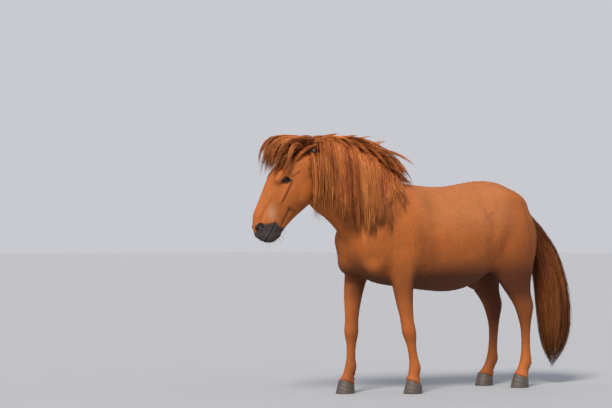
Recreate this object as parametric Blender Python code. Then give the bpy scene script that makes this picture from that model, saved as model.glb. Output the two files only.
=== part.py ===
"""A standing Icelandic horse, life size, as a still model: closed solids for the flesh, hooves, eyes, ears and hair.

The horse faces -X with its left side towards -Y. The floor is z = 0 and the origin is under the middle of its box.
"""
import math
import random

import bmesh
import bpy
import numpy as np
from mathutils import Matrix, Vector
from mathutils.bvhtree import BVHTree

# Driving dimensions, in metres.
GAP = 0.0003
HEAD_PITCH = math.radians(29)
POLL = np.array([-0.975, 0.0, 1.490])
ORIGIN_SHIFT = np.array([0.139, 0.0, 0.0])
TURN = math.radians(8)
TURN_FROM = -0.45
TURN_TO = -0.92
LEG_SPREAD = 0.125
RING_POINTS = 40
EYE = (0.233, 0.109, 0.072)
EYE_RADIUS = 0.0195
NOSTRIL = (0.556, 0.103)
MOUTH = [(0.486, 0.039), (0.520, 0.036), (0.560, 0.031), (0.600, 0.026), (0.640, 0.024)]
EAR_LENGTH = 0.155
LEFT, RIGHT = -1, 1
DOWN = np.array([0.0, 0.0, -1.0])

CHESTNUT = (0.330, 0.085, 0.020)
HAIR = (0.420, 0.135, 0.036)
HORN = (0.075, 0.052, 0.036)
EYE_COLOUR = (0.010, 0.006, 0.004)


def smooth_rows(rows, count):
    """Rows of numbers read at count even steps along a smooth curve through them."""
    rows = np.array(rows, float)
    middle = (rows[:, 0:2] + rows[:, 2:4]) / 2
    size = np.linalg.norm(rows[:, 2:4] - rows[:, 0:2], axis=1)
    step = np.linalg.norm(np.diff(middle, axis=0), axis=1) + 0.35 * np.abs(np.diff(size)) + 1e-4
    at = np.concatenate([[0], np.cumsum(step)])
    return curve_through(at, rows, np.linspace(0, at[-1], count))


def curve_through(at, rows, wanted):
    """A cubic curve through rows at the places at, read at the places wanted."""
    slope = np.empty_like(rows)
    slope[1:-1] = (rows[2:] - rows[:-2]) / (at[2:] - at[:-2])[:, None]
    slope[0] = (rows[1] - rows[0]) / (at[1] - at[0])
    slope[-1] = (rows[-1] - rows[-2]) / (at[-1] - at[-2])
    i = np.clip(np.searchsorted(at, wanted, side="right") - 1, 0, len(at) - 2)
    width = (at[i + 1] - at[i])[:, None]
    t = ((wanted - at[i]) / (at[i + 1] - at[i]))[:, None]
    return (
        (1 + 2 * t) * (1 - t) ** 2 * rows[i]
        + t * (1 - t) ** 2 * width * slope[i]
        + t * t * (3 - 2 * t) * rows[i + 1]
        + t * t * (t - 1) * width * slope[i + 1]
    )


def slice_ring(row, points=RING_POINTS):
    """One closed section. A row is the x and z of its low or front end, those of its high or back end,
    the middle's y, the half widths at the first end, the middle and the second end, and how square it is."""
    ax, az, bx, bz, y, wide_a, wide_m, wide_b, square = row
    angle = np.linspace(0, 2 * math.pi, points, endpoint=False)
    c, s = np.cos(angle), np.sin(angle)
    along = np.sign(s) * np.abs(s) ** (2 / square)
    across = np.sign(c) * np.abs(c) ** (2 / square)
    wide = wide_m * (1 - along**2) + np.where(along < 0, wide_a, wide_b) * along**2
    ring = np.empty((points, 3))
    ring[:, 0] = (ax + bx) / 2 + (bx - ax) / 2 * along
    ring[:, 1] = y + across * wide
    ring[:, 2] = (az + bz) / 2 + (bz - az) / 2 * along
    return ring


def add_rings(bm, rings):
    """Joins a row of equal rings into one closed skin."""
    made = [[bm.verts.new(p) for p in ring] for ring in rings]
    for low, high in zip(made, made[1:]):
        for i in range(len(low)):
            j = (i + 1) % len(low)
            bm.faces.new((low[i], low[j], high[j]))
            bm.faces.new((low[i], high[j], high[i]))
    bm.faces.new(list(reversed(made[0])))
    bm.faces.new(made[-1])


def add_loft(bm, rows, count):
    add_rings(bm, [slice_ring(row) for row in smooth_rows(rows, count)])


def add_ball(bm, centre, radii, pitch=0.0, roll=0.0):
    """An ellipsoid. Pitch turns it about Y and roll about X."""
    turn = Matrix.Rotation(pitch, 4, "Y") @ Matrix.Rotation(roll, 4, "X")
    place = Matrix.Translation(Vector(centre)) @ turn @ Matrix.Diagonal((*radii, 1))
    bmesh.ops.create_icosphere(bm, subdivisions=3, radius=1.0, matrix=place)


def torso_rows():
    """The trunk from breast to buttock, as slices from belly to back."""
    table = [
        # x, belly z, back z, half widths at belly, middle and back, squareness
        (-0.700, 0.890, 1.010, 0.060, 0.085, 0.050, 2.2),
        (-0.650, 0.795, 1.150, 0.110, 0.152, 0.080, 2.2),
        (-0.560, 0.725, 1.285, 0.140, 0.190, 0.080, 2.2),
        (-0.460, 0.690, 1.335, 0.160, 0.212, 0.065, 2.2),
        (-0.360, 0.675, 1.352, 0.185, 0.228, 0.075, 2.2),
        (-0.240, 0.660, 1.335, 0.220, 0.252, 0.110, 2.2),
        (-0.100, 0.643, 1.318, 0.245, 0.277, 0.150, 2.2),
        (0.040, 0.632, 1.316, 0.255, 0.292, 0.180, 2.2),
        (0.160, 0.645, 1.332, 0.245, 0.290, 0.200, 2.25),
        (0.280, 0.690, 1.350, 0.210, 0.272, 0.205, 2.3),
        (0.400, 0.760, 1.354, 0.170, 0.255, 0.200, 2.3),
        (0.510, 0.830, 1.328, 0.140, 0.235, 0.175, 2.3),
        (0.610, 0.900, 1.258, 0.110, 0.195, 0.125, 2.2),
        (0.675, 0.980, 1.195, 0.070, 0.130, 0.080, 2.2),
        (0.700, 1.040, 1.130, 0.030, 0.060, 0.040, 2.0),
    ]
    return [(x, low, x, top, 0, wl, wm, wt, n) for x, low, top, wl, wm, wt, n in table]


def neck_rows():
    """The neck from inside the chest to the poll, as slices from throat to crest."""
    return [
        (-0.480, 0.780, -0.300, 1.325, 0, 0.120, 0.170, 0.050, 2.1),
        (-0.600, 0.840, -0.405, 1.362, 0, 0.115, 0.165, 0.048, 2.1),
        (-0.680, 0.915, -0.508, 1.402, 0, 0.095, 0.142, 0.044, 2.1),
        (-0.742, 0.992, -0.603, 1.443, 0, 0.080, 0.122, 0.040, 2.1),
        (-0.800, 1.055, -0.697, 1.480, 0, 0.070, 0.108, 0.038, 2.1),
        (-0.862, 1.110, -0.790, 1.508, 0, 0.064, 0.098, 0.038, 2.1),
        (-0.920, 1.155, -0.880, 1.526, 0, 0.058, 0.090, 0.039, 2.1),
        (-0.962, 1.200, -0.955, 1.528, 0, 0.052, 0.083, 0.040, 2.1),
        (-0.990, 1.250, -1.005, 1.510, 0, 0.045, 0.072, 0.036, 2.1),
    ]


HEAD_ALONG = np.array([-math.sin(HEAD_PITCH), 0.0, -math.cos(HEAD_PITCH)])
HEAD_UP = np.array([-math.cos(HEAD_PITCH), 0.0, math.sin(HEAD_PITCH)])


def head_point(s, t, y=0.0):
    """A place on the head: s metres from the poll to the lips, t towards the forehead, y to the side."""
    return POLL + s * HEAD_ALONG + t * HEAD_UP + np.array([0.0, y, 0.0])


def head_rows():
    """The head from poll to lips, as slices from jaw to forehead."""
    table = [
        # s, jaw t, forehead t, half widths at jaw, middle and forehead, squareness
        (-0.020, -0.090, 0.045, 0.040, 0.070, 0.045, 2.1),
        (0.020, -0.120, 0.088, 0.044, 0.080, 0.058, 2.2),
        (0.070, -0.140, 0.127, 0.047, 0.087, 0.068, 2.3),
        (0.130, -0.152, 0.156, 0.050, 0.090, 0.075, 2.4),
        (0.190, -0.158, 0.170, 0.052, 0.090, 0.077, 2.4),
        (0.250, -0.152, 0.172, 0.050, 0.085, 0.068, 2.4),
        (0.310, -0.130, 0.167, 0.045, 0.075, 0.056, 2.4),
        (0.370, -0.106, 0.161, 0.041, 0.065, 0.048, 2.4),
        (0.430, -0.087, 0.155, 0.037, 0.057, 0.043, 2.4),
        (0.480, -0.075, 0.149, 0.036, 0.053, 0.042, 2.5),
        (0.520, -0.066, 0.132, 0.037, 0.052, 0.043, 2.5),
        (0.550, -0.058, 0.115, 0.037, 0.050, 0.042, 2.5),
        (0.575, -0.044, 0.096, 0.033, 0.045, 0.038, 2.4),
        (0.594, -0.022, 0.075, 0.024, 0.034, 0.028, 2.3),
        (0.605, 0.005, 0.050, 0.012, 0.018, 0.014, 2.0),
    ]
    rows = []
    for s, jaw, brow, wj, wm, wb, n in table:
        low, high = head_point(s, jaw), head_point(s, brow)
        rows.append((low[0], low[2], high[0], high[2], 0, wj, wm, wb, n))
    return rows


def fore_leg_rows(axis, side):
    """A fore leg as level slices from front to back, round an axis whose x changes with height."""
    table = [
        # z, front, back, half widths at front, middle and back, y share
        (0.900, -0.100, 0.105, 0.060, 0.072, 0.050, 1.14),
        (0.830, -0.092, 0.105, 0.058, 0.070, 0.050, 1.14),
        (0.770, -0.086, 0.098, 0.056, 0.067, 0.046, 1.12),
        (0.710, -0.082, 0.084, 0.052, 0.062, 0.042, 1.10),
        (0.650, -0.076, 0.070, 0.048, 0.057, 0.038, 1.08),
        (0.580, -0.066, 0.056, 0.043, 0.050, 0.034, 1.06),
        (0.510, -0.055, 0.047, 0.038, 0.043, 0.032, 1.04),
        (0.455, -0.049, 0.044, 0.037, 0.041, 0.033, 1.03),
        (0.415, -0.049, 0.047, 0.040, 0.045, 0.034, 1.02),
        (0.380, -0.048, 0.050, 0.040, 0.045, 0.032, 1.01),
        (0.345, -0.039, 0.044, 0.034, 0.038, 0.028, 1.00),
        (0.305, -0.031, 0.038, 0.027, 0.030, 0.024, 0.99),
        (0.245, -0.028, 0.036, 0.024, 0.027, 0.023, 0.98),
        (0.200, -0.030, 0.040, 0.027, 0.030, 0.027, 0.97),
        (0.170, -0.035, 0.045, 0.032, 0.036, 0.033, 0.96),
        (0.140, -0.043, 0.040, 0.031, 0.035, 0.031, 0.96),
        (0.112, -0.056, 0.026, 0.030, 0.033, 0.029, 0.96),
        (0.085, -0.078, 0.024, 0.039, 0.047, 0.040, 0.96),
        (0.055, -0.086, 0.032, 0.042, 0.051, 0.044, 0.96),
        (0.020, -0.088, 0.034, 0.040, 0.050, 0.042, 0.96),
    ]
    heights, places = np.array(axis).T
    rows = []
    for z, front, back, wf, wm, wb, spread in table:
        x = np.interp(z, heights, places)
        rows.append((x + front, z, x + back, z, side * LEG_SPREAD * spread, wf, wm, wb, 2.2))
    return rows


def hind_leg_rows(forward, side):
    """A hind leg as level slices from front to back. The foot stands forward of square by the length given."""
    table = [
        # z, front x, back x, half widths at front, middle and back, y
        (1.200, 0.390, 0.600, 0.060, 0.090, 0.050, 0.130),
        (1.100, 0.320, 0.675, 0.080, 0.115, 0.065, 0.138),
        (1.000, 0.285, 0.702, 0.085, 0.120, 0.070, 0.145),
        (0.910, 0.275, 0.696, 0.080, 0.112, 0.064, 0.150),
        (0.840, 0.290, 0.682, 0.070, 0.098, 0.058, 0.152),
        (0.770, 0.330, 0.668, 0.060, 0.082, 0.050, 0.150),
        (0.705, 0.378, 0.658, 0.050, 0.068, 0.040, 0.147),
        (0.645, 0.430, 0.658, 0.042, 0.056, 0.030, 0.144),
        (0.595, 0.478, 0.666, 0.038, 0.048, 0.025, 0.141),
        (0.555, 0.512, 0.682, 0.036, 0.043, 0.025, 0.138),
        (0.520, 0.536, 0.684, 0.037, 0.043, 0.027, 0.136),
        (0.480, 0.556, 0.676, 0.036, 0.042, 0.028, 0.134),
        (0.440, 0.572, 0.668, 0.032, 0.037, 0.027, 0.132),
        (0.390, 0.586, 0.663, 0.027, 0.031, 0.025, 0.130),
        (0.310, 0.594, 0.661, 0.024, 0.028, 0.023, 0.128),
        (0.230, 0.594, 0.664, 0.025, 0.029, 0.025, 0.127),
        (0.180, 0.587, 0.671, 0.032, 0.036, 0.032, 0.126),
        (0.148, 0.576, 0.666, 0.031, 0.035, 0.031, 0.126),
        (0.116, 0.560, 0.646, 0.029, 0.032, 0.029, 0.126),
        (0.086, 0.535, 0.638, 0.038, 0.046, 0.039, 0.126),
        (0.055, 0.527, 0.644, 0.041, 0.050, 0.043, 0.126),
        (0.020, 0.525, 0.646, 0.040, 0.049, 0.042, 0.126),
    ]
    rows = []
    for z, front, back, wf, wm, wb, y in table:
        shift = -forward * max(0.0, 1 - z / 1.0)
        rows.append((front + shift, z, back + shift, z, side * y, wf, wm, wb, 2.2))
    return rows


FORE_AXIS = {
    LEFT: [(0.0, -0.245), (0.17, -0.268), (0.39, -0.312), (0.60, -0.350), (0.80, -0.385), (1.0, -0.42)],
    RIGHT: [(0.0, -0.600), (0.17, -0.596), (0.39, -0.582), (0.60, -0.560), (0.80, -0.530), (1.0, -0.50)],
}
HIND_FORWARD = {LEFT: 0.0, RIGHT: 0.10}
SHEATH = (0.290, 0.0, 0.688)


def add_muscles(bm):
    """The big muscles and bones that fill out the trunk and the tops of the legs."""
    for side in (LEFT, RIGHT):
        lean = FORE_AXIS[side][4][1] + 0.46
        for x, y, z, radii, pitch in [
            (-0.505 + 0.3 * lean, 0.122, 1.070, (0.105, 0.078, 0.215), 26),
            (-0.455 + 0.8 * lean, 0.142, 0.905, (0.125, 0.070, 0.125), 20),
            (-0.625 + 0.3 * lean, 0.085, 0.950, (0.082, 0.088, 0.140), -14),
            (-0.590 + 0.5 * lean, 0.083, 0.835, (0.090, 0.074, 0.095), 0),
            (0.290, 0.150, 1.185, (0.095, 0.072, 0.085), -20),
            (0.430, 0.105, 1.205, (0.225, 0.120, 0.112), 10),
            (0.590, 0.108, 1.030, (0.098, 0.088, 0.210), -6),
            (0.345, 0.158, 0.870, (0.085, 0.060, 0.110), -20),
        ]:
            add_ball(bm, (x, side * y, z), radii, pitch=math.radians(pitch))
    add_ball(bm, SHEATH, (0.075, 0.040, 0.048), pitch=math.radians(25))


def add_head_forms(bm):
    """The bony and fleshy forms of the head: brow, cheek, crest of the face, nostril, lips and chin."""
    for side in (LEFT, RIGHT):
        for s, t, y, radii in [
            (0.212, 0.122, 0.060, (0.034, 0.034, 0.052)),
            (0.180, -0.052, 0.044, (0.098, 0.046, 0.125)),
            (0.310, 0.060, 0.050, (0.020, 0.020, 0.085)),
            (0.545, 0.087, 0.033, (0.030, 0.022, 0.036)),
        ]:
            add_ball(bm, head_point(s, t, side * y), radii, pitch=HEAD_PITCH)
    for s, t, radii in [
        (0.572, 0.056, (0.034, 0.042, 0.034)),
        (0.552, -0.012, (0.034, 0.040, 0.042)),
        (0.515, -0.044, (0.028, 0.034, 0.036)),
    ]:
        add_ball(bm, head_point(s, t), radii, pitch=HEAD_PITCH)


def flesh_bmesh(whole=True):
    """The lofts and forms of the whole body, or of the head and neck alone."""
    bm = bmesh.new()
    add_loft(bm, neck_rows(), 26)
    add_loft(bm, head_rows(), 46)
    add_head_forms(bm)
    if whole:
        add_loft(bm, torso_rows(), 46)
        for side in (LEFT, RIGHT):
            add_loft(bm, fore_leg_rows(FORE_AXIS[side], side), 60)
            add_loft(bm, hind_leg_rows(HIND_FORWARD[side], side), 60)
        add_muscles(bm)
    return bm


def remeshed(bm, voxel):
    """The closed skin round everything in bm, as points and quads."""
    bmesh.ops.recalc_face_normals(bm, faces=bm.faces)
    mesh = bpy.data.meshes.new("rough")
    bm.to_mesh(mesh)
    bm.free()
    rough = bpy.data.objects.new("rough", mesh)
    bpy.context.scene.collection.objects.link(rough)
    remesh = rough.modifiers.new("remesh", "REMESH")
    remesh.mode = "VOXEL"
    remesh.voxel_size = voxel
    made = bpy.data.meshes.new_from_object(rough.evaluated_get(bpy.context.evaluated_depsgraph_get()))
    bpy.data.objects.remove(rough)
    points = np.empty(len(made.vertices) * 3)
    made.vertices.foreach_get("co", points)
    quads = np.array([p.vertices[:] for p in made.polygons])
    bpy.data.meshes.remove(made)
    return points.reshape(-1, 3), quads


def neighbours(faces):
    """Each edge of the skin, both ways round, and how many meet at each point."""
    sides = faces.shape[1]
    ends = np.concatenate([faces[:, [i, (i + 1) % sides]] for i in range(sides)])
    ends = np.unique(np.concatenate([ends, ends[:, ::-1]]), axis=0)
    return ends, np.bincount(ends[:, 0])[:, None]


def smoothed(points, faces, rounds, share):
    """Evens out the skin. Share is each point's part in it, from 0 to 1."""
    ends, count = neighbours(faces)
    for _ in range(rounds):
        near = points[ends[:, 1]]
        total = np.stack([np.bincount(ends[:, 0], near[:, k], len(points)) for k in range(3)], 1)
        points = points + 0.6 * share[:, None] * (total / count - points)
    return points


def ease(value, start, stop):
    """0 before start, 1 after stop and a smooth step between them."""
    t = np.clip((value - start) / (stop - start), 0, 1)
    return t * t * (3 - 2 * t)


def turned(points):
    """The neck and head bent to the horse's right by TURN, along the neck. The legs stay straight."""
    steps = np.linspace(0, 1.4, 1401)
    angle = TURN * ease(steps, 0, TURN_FROM - TURN_TO)
    width = steps[1] - steps[0]
    line_x = TURN_FROM - np.concatenate([[0], np.cumsum(np.cos(angle[1:]) * width)])
    line_y = np.concatenate([[0], np.cumsum(np.sin(angle[1:]) * width)])
    along = TURN_FROM - points[:, 0]
    bent = points.copy()
    there = along > 0
    a = np.interp(along[there], steps, angle)
    bent[there, 0] = np.interp(along[there], steps, line_x) + points[there, 1] * np.sin(a)
    bent[there, 1] = np.interp(along[there], steps, line_y) + points[there, 1] * np.cos(a)
    return points + ease(points[:, 2], 0.80, 1.05)[:, None] * (bent - points)


def flesh_skin(voxel, smoothing, whole=True):
    """The body as one fine skin in its pose. Smoothing is how far it evens out, in metres."""
    points, quads = remeshed(flesh_bmesh(whole), voxel)
    low_leg = 1 - 0.86 * ease(0.80 - points[:, 2], 0.0, 0.25)
    from_poll = (points - POLL) @ HEAD_ALONG
    fine = 0.60 * ease(from_poll, 0.02, 0.14) + 0.28 * ease(from_poll, 0.34, 0.44)
    face = 1 - fine * ease(-points[:, 0], 0.88, 0.95)
    rounds = int(round((smoothing / voxel) ** 2))
    points = smoothed(points, quads, rounds, np.minimum(low_leg, face))
    points = face_details(points, quads)
    return turned(points), quads


def point_normals(points, quads):
    """The outward direction at each point of the skin."""
    across = np.cross(points[quads[:, 2]] - points[quads[:, 0]], points[quads[:, 3]] - points[quads[:, 1]])
    total = np.zeros_like(points)
    for corner in range(4):
        for k in range(3):
            total[:, k] += np.bincount(quads[:, corner], across[:, k], len(points))
    return total / np.maximum(np.linalg.norm(total, axis=1), 1e-12)[:, None]


def face_details(points, quads):
    """Presses the mouth and nostrils into the head and shapes the lids round each eye."""
    out = point_normals(points, quads)
    s, t = (points - POLL) @ HEAD_ALONG, (points - POLL) @ HEAD_UP
    y = np.abs(points[:, 1])
    head = (s > 0.02) & (points[:, 0] < -0.9)
    line_s, line_t = np.array(MOUTH).T
    from_mouth = t - np.interp(s, line_s, line_t)
    before_corner = np.maximum(0, line_s[0] - s)
    push = -0.010 * np.exp(-((from_mouth / 0.0045) ** 2) - (before_corner / 0.006) ** 2)
    for step, height, spread in [(0.012, 0.0022, 0.006), (-0.013, 0.0026, 0.007)]:
        push += height * np.exp(-(((from_mouth - step) / spread) ** 2) - (before_corner / 0.02) ** 2)
    long, wide = s - NOSTRIL[0], t - NOSTRIL[1]
    long, wide = 0.50 * long - 0.86 * wide, 0.86 * long + 0.50 * wide
    wide = wide - 8.0 * long**2
    from_nostril = (long / 0.021) ** 2 + (wide / 0.0095) ** 2
    outer = y > 0.018
    push -= outer * 0.018 * np.exp(-(from_nostril**2))
    push += outer * 0.004 * np.exp(-((np.sqrt(from_nostril) - 1.75) / 0.45) ** 2)
    points = points + (head * push)[:, None] * out
    return lids_shaped(points, head)


def lids_shaped(points, head):
    """Draws the skin over each eyeball, with an almond opening between the lids."""
    points = points.copy()
    for side in (LEFT, RIGHT):
        away = points - head_point(EYE[0], EYE[1], side * EYE[2])
        s, t, y = away @ HEAD_ALONG, away @ HEAD_UP, side * away[:, 1]
        long, high = 0.75 * s + 0.66 * t, 0.75 * t - 0.66 * s
        high = high + 9.0 * long**2 - 0.001
        reach = np.linalg.norm(away, axis=1)
        flat = np.hypot(long, high)
        opening = (long / 0.0185) ** 2 + (high / 0.0098) ** 2
        lid = EYE_RADIUS + 0.0035 + 0.0016 * np.exp(-(((np.sqrt(opening) - 1.35) / 0.3) ** 2))
        lid = np.where(opening < 1, EYE_RADIUS - 0.005, lid)
        near = head & (y > 0) & (flat < 0.034)
        share = 1 - ease(flat, 0.020, 0.034)
        radius = np.where(near, reach + share * (lid - reach), reach)
        fold = -0.0025 * np.exp(-(((flat - 0.029) / 0.004) ** 2)) * (near & (high > 0))
        points = points + away / reach[:, None] * (radius + fold - reach)[:, None]
    return points


def mesh_object(name, points, faces):
    mesh = bpy.data.meshes.new(name)
    mesh.from_pydata(np.asarray(points).tolist(), [], [list(map(int, face)) for face in faces])
    made = bpy.data.objects.new(name, mesh)
    bpy.context.scene.collection.objects.link(made)
    return made


def bmesh_object(name, bm):
    bmesh.ops.recalc_face_normals(bm, faces=bm.faces)
    mesh = bpy.data.meshes.new(name)
    bm.to_mesh(mesh)
    bm.free()
    made = bpy.data.objects.new(name, mesh)
    bpy.context.scene.collection.objects.link(made)
    return made


def settled(made):
    """Turns what an object's modifiers make of it into its own mesh."""
    bpy.context.view_layer.update()
    new = bpy.data.meshes.new_from_object(made.evaluated_get(bpy.context.evaluated_depsgraph_get()))
    old = made.data
    made.modifiers.clear()
    made.data = new
    new.name = made.name
    bpy.data.meshes.remove(old)
    return made


def combined(made, other, operation, solver="EXACT", keep=False):
    """A Boolean with another object, applied. The other object is removed unless kept."""
    boolean = made.modifiers.new("boolean", "BOOLEAN")
    boolean.operation = operation
    boolean.solver = solver
    boolean.object = other
    settled(made)
    if not keep:
        bpy.data.objects.remove(other)
    return made


def copy_of(made, name):
    copy = bpy.data.objects.new(name, made.data.copy())
    bpy.context.scene.collection.objects.link(copy)
    return copy


def decimated(made, triangles):
    """Takes an object down to about so many triangles."""
    made.data.calc_loop_triangles()
    modifier = made.modifiers.new("decimate", "DECIMATE")
    modifier.ratio = triangles / len(made.data.loop_triangles)
    return settled(made)


def inflated(made, distance):
    """A copy whose points are moved outward, to cut a neighbour clear of the original."""
    copy = copy_of(made, "grown")
    points = np.empty(len(copy.data.vertices) * 3)
    copy.data.vertices.foreach_get("co", points)
    out = np.array([v.normal[:] for v in copy.data.vertices])
    copy.data.vertices.foreach_set("co", (points.reshape(-1, 3) + distance * out).ravel())
    return copy


def block(planes, grow=0.0):
    """The convex solid inside planes, each a point and an outward direction, all moved out by grow."""
    bm = bmesh.new()
    bmesh.ops.create_cube(bm, size=6.0)
    for point, out in planes:
        out = Vector(out).normalized()
        cut = bmesh.ops.bisect_plane(
            bm,
            geom=bm.verts[:] + bm.edges[:] + bm.faces[:],
            plane_co=Vector(point) + out * grow,
            plane_no=out,
            clear_outer=True,
        )
        edges = [e for e in cut["geom_cut"] if isinstance(e, bmesh.types.BMEdge)]
        if edges:
            bmesh.ops.edgeloop_fill(bm, edges=edges)
    return bmesh_object("block", bm)


def largest(made):
    """Keeps only the largest closed surface of an object."""
    bm = bmesh.new()
    bm.from_mesh(made.data)
    left, shells = set(bm.verts), []
    while left:
        todo, shell = [left.pop()], []
        while todo:
            vertex = todo.pop()
            shell.append(vertex)
            for edge in vertex.link_edges:
                other = edge.other_vert(vertex)
                if other in left:
                    left.remove(other)
                    todo.append(other)
        shells.append(shell)
    box = [np.ptp(np.array([v.co for v in shell]), axis=0).prod() for shell in shells]
    keep = shells[int(np.argmax(box))]
    drop = set(bm.verts) - set(keep)
    bmesh.ops.delete(bm, geom=list(drop), context="VERTS")
    bm.to_mesh(made.data)
    bm.free()
    return made


def turned_plane(low, high, out):
    """A plane across the neck through two places on its middle line, turned with the neck."""
    low, high, third = turned(np.array([low, high, low + np.array([0.0, 0.1, 0.0])]))
    normal = np.cross(high - low, third - low)
    return low, normal * np.sign(normal @ np.array(out))


def leg_planes(side, front, back, inner, outer, inner_y, outer_y):
    """What a leg is cut from the body with. Front and back are the x of its walls at z 0.6 and 1.0."""
    rise = (outer - inner) / (outer_y - inner_y)
    return [
        ((0, side * inner_y, 0), (0, -side, 0)),
        ((0, side * inner_y, inner), (0, -side * rise, 1)),
        ((front[0], 0, 0.6), (-0.4, 0, front[1] - front[0])),
        ((back[0], 0, 0.6), (0.4, 0, back[0] - back[1])),
    ]


def hoof_rows(centre, y):
    """A hoof from its sole up past the coronet, as level slices."""
    table = [
        # z, toe, heel, half widths at toe, middle and heel
        (0.000, -0.100, 0.032, 0.038, 0.058, 0.040),
        (0.035, -0.090, 0.031, 0.037, 0.055, 0.039),
        (0.070, -0.079, 0.029, 0.035, 0.050, 0.037),
        (0.110, -0.067, 0.026, 0.032, 0.045, 0.034),
    ]
    return [(centre + toe, z, centre + heel, z, y, wt, wm, wh, 2.2) for z, toe, heel, wt, wm, wh in table]


def add_ear(bm, side, grow=0.0, rings=8, arc=6):
    """A cupped ear, laid back, as a curled sheet that closes at its root. Grow makes its cutter."""
    root = head_point(0.060, 0.082, side * 0.062)
    tip = head_point(-0.088, 0.020, side * 0.078)
    along = (tip - root) / np.linalg.norm(tip - root)
    facing = np.array([0.30, side * 0.92, -0.10])
    facing = facing - along * (facing @ along)
    facing = facing / np.linalg.norm(facing)
    across = np.cross(along, facing)
    made = []
    for u in np.linspace(0, 1, rings):
        radius = np.interp(u, [0, 0.2, 0.45, 0.7, 0.9, 1], [0.021, 0.027, 0.028, 0.022, 0.011, 0.003])
        opening = math.radians(np.interp(u, [0, 0.15, 0.4, 0.8, 1], [14, 30, 62, 72, 80]))
        wall = min(0.005, radius * 0.45) + 2 * grow
        radius += grow
        reach = (u * 1.06 - 0.06) * EAR_LENGTH + grow * (4 * u - 2)
        centre = root + along * reach - facing * 0.010 * math.sin(math.pi * u)
        angle = np.linspace(opening, 2 * math.pi - opening, arc)
        ring = []
        for r, angles in ((radius, angle), (radius - wall, angle[::-1])):
            line = np.array([centre + facing * r * math.cos(a) * 0.85 + across * r * math.sin(a) for a in angles])
            for end, before in ((0, 1), (-1, -2)):
                away = line[end] - line[before]
                line[end] += away / np.linalg.norm(away) * 2 * grow
            ring.append(line)
        made.append(turned(np.concatenate(ring)))
    add_rings(bm, made)


def skin_tree(skins):
    """A tree for finding the nearest place on the body."""
    points, faces, start = [], [], 0
    for skin_points, quads in skins:
        points.append(skin_points)
        faces.append(quads + start)
        start += len(skin_points)
    return BVHTree.FromPolygons(np.concatenate(points).tolist(), np.concatenate(faces).tolist())


def lifted(tree, at, lift):
    """The place nearest to at that is lift or more outside the body."""
    near, out, _, _ = tree.find_nearest(Vector(at))
    near, out = np.array(near), np.array(out)
    height = (at - near) @ out
    return near + out * lift if height < lift else at


def lock_line(tree, root, start, length, steps, fall=0.35, drift=(0, 0, 0), lift=0.008):
    """The line of a lock that leaves root along start, bends down by fall each step and rests on the body."""
    heading = np.array(start, float)
    heading /= np.linalg.norm(heading)
    at = np.array(root, float)
    line = [at]
    for _ in range(steps):
        heading = heading + fall * DOWN + np.array(drift)
        heading /= np.linalg.norm(heading)
        at = lifted(tree, at + heading * length / steps, lift)
        line.append(at)
    return np.array(line)


def hanging(tree, start, heading, length, steps, fall, lift, pull=0.25):
    """The line of a lock that turns over and hangs down close to the body."""
    heading = np.array(heading, float)
    at = np.array(start, float)
    line = [at]
    for _ in range(steps):
        heading = heading / np.linalg.norm(heading) + fall * DOWN
        heading /= np.linalg.norm(heading)
        at = at + heading * length / steps
        near, out, _, far = tree.find_nearest(Vector(at))
        near, out = np.array(near), np.array(out)
        height = (at - near) @ out
        if height < lift:
            at = near + out * lift
        elif far < 0.25:
            at = at - out * pull * (height - lift)
        line.append(at)
    return np.array(line)


def add_lock(bm, line, flat, width, thick, tip=0.12):
    """A flat, tapered lock of four sides along line. Flat is the direction its broad face looks."""
    count = len(line)
    rings = []
    for i, at in enumerate(line):
        share = i / (count - 1)
        along = line[min(i + 1, count - 1)] - line[max(i - 1, 0)]
        along /= np.linalg.norm(along)
        up = flat[i] - along * (flat[i] @ along)
        up /= np.linalg.norm(up)
        side = np.cross(along, up)
        size = np.interp(share, [0, 0.25, 0.6, 1], [0.7, 1.0, 0.8, tip])
        w, t = width * size / 2, thick * size / 2
        rings.append([at + side * w, at + up * t, at - side * w, at - up * t])
    add_rings(bm, rings)


def faces_along(tree, line, lean=0.0):
    """The direction away from the body at each place on a line, leaning up by lean."""
    made = []
    for at in line:
        near, out, _, _ = tree.find_nearest(Vector(at))
        away = np.array(at) - np.array(near)
        away = away if np.linalg.norm(away) > 0.02 else np.array(out)
        made.append(away / np.linalg.norm(away) - lean * DOWN)
    return made


def crest_points(tree, count):
    """Places along the crest of the neck from the poll to the withers."""
    made = []
    for x in np.linspace(-0.965, -0.350, count):
        middle = turned(np.array([[x, 0.0, 1.5]]))[0]
        hit = tree.ray_cast(Vector((middle[0], middle[1], 2.0)), Vector((0, 0, -1)))[0]
        made.append(np.array(hit))
    return made


def mane_lengths(share):
    """How high the mane stands and how far it hangs on the left, from the poll at 0 to the withers at 1."""
    puff = np.interp(share, [0, 0.35, 0.6, 0.85, 1], [0.105, 0.125, 0.135, 0.095, 0.030])
    near = np.interp(share, [0, 0.2, 0.6, 0.85, 1], [0.42, 0.50, 0.47, 0.36, 0.22])
    return puff, near


def add_mane_core(bm, tree, reach):
    """The body of the mane as one form over the crest. Reach is its share of the full length."""
    rings = []
    for share, root in zip(np.linspace(0, 1, 9), crest_points(tree, 9)):
        puff, near = mane_lengths(share)
        outer, inner = [], []
        for length, side in ((near * 0.62 * reach, RIGHT), (near * reach, LEFT)):
            high = puff * (0.35 + 0.65 * reach)
            thick = lock_line(tree, root + (0, side * 0.02, high), (0, side, 0.1), length, 4, 0.55, lift=0.030)
            thin = lock_line(tree, root + (0, side * 0.02, 0), (0, side, -0.2), length * 0.93, 4, 0.55, lift=-0.012)
            thick[-1] = thin[-1] + 0.25 * (thick[-1] - thin[-1])
            outer.append(thick)
            inner.append(thin - (0, 0, 0.01))
        rings.append(np.concatenate([outer[0][::-1], outer[1], inner[1][::-1], inner[0]]))
    add_rings(bm, rings)


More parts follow.
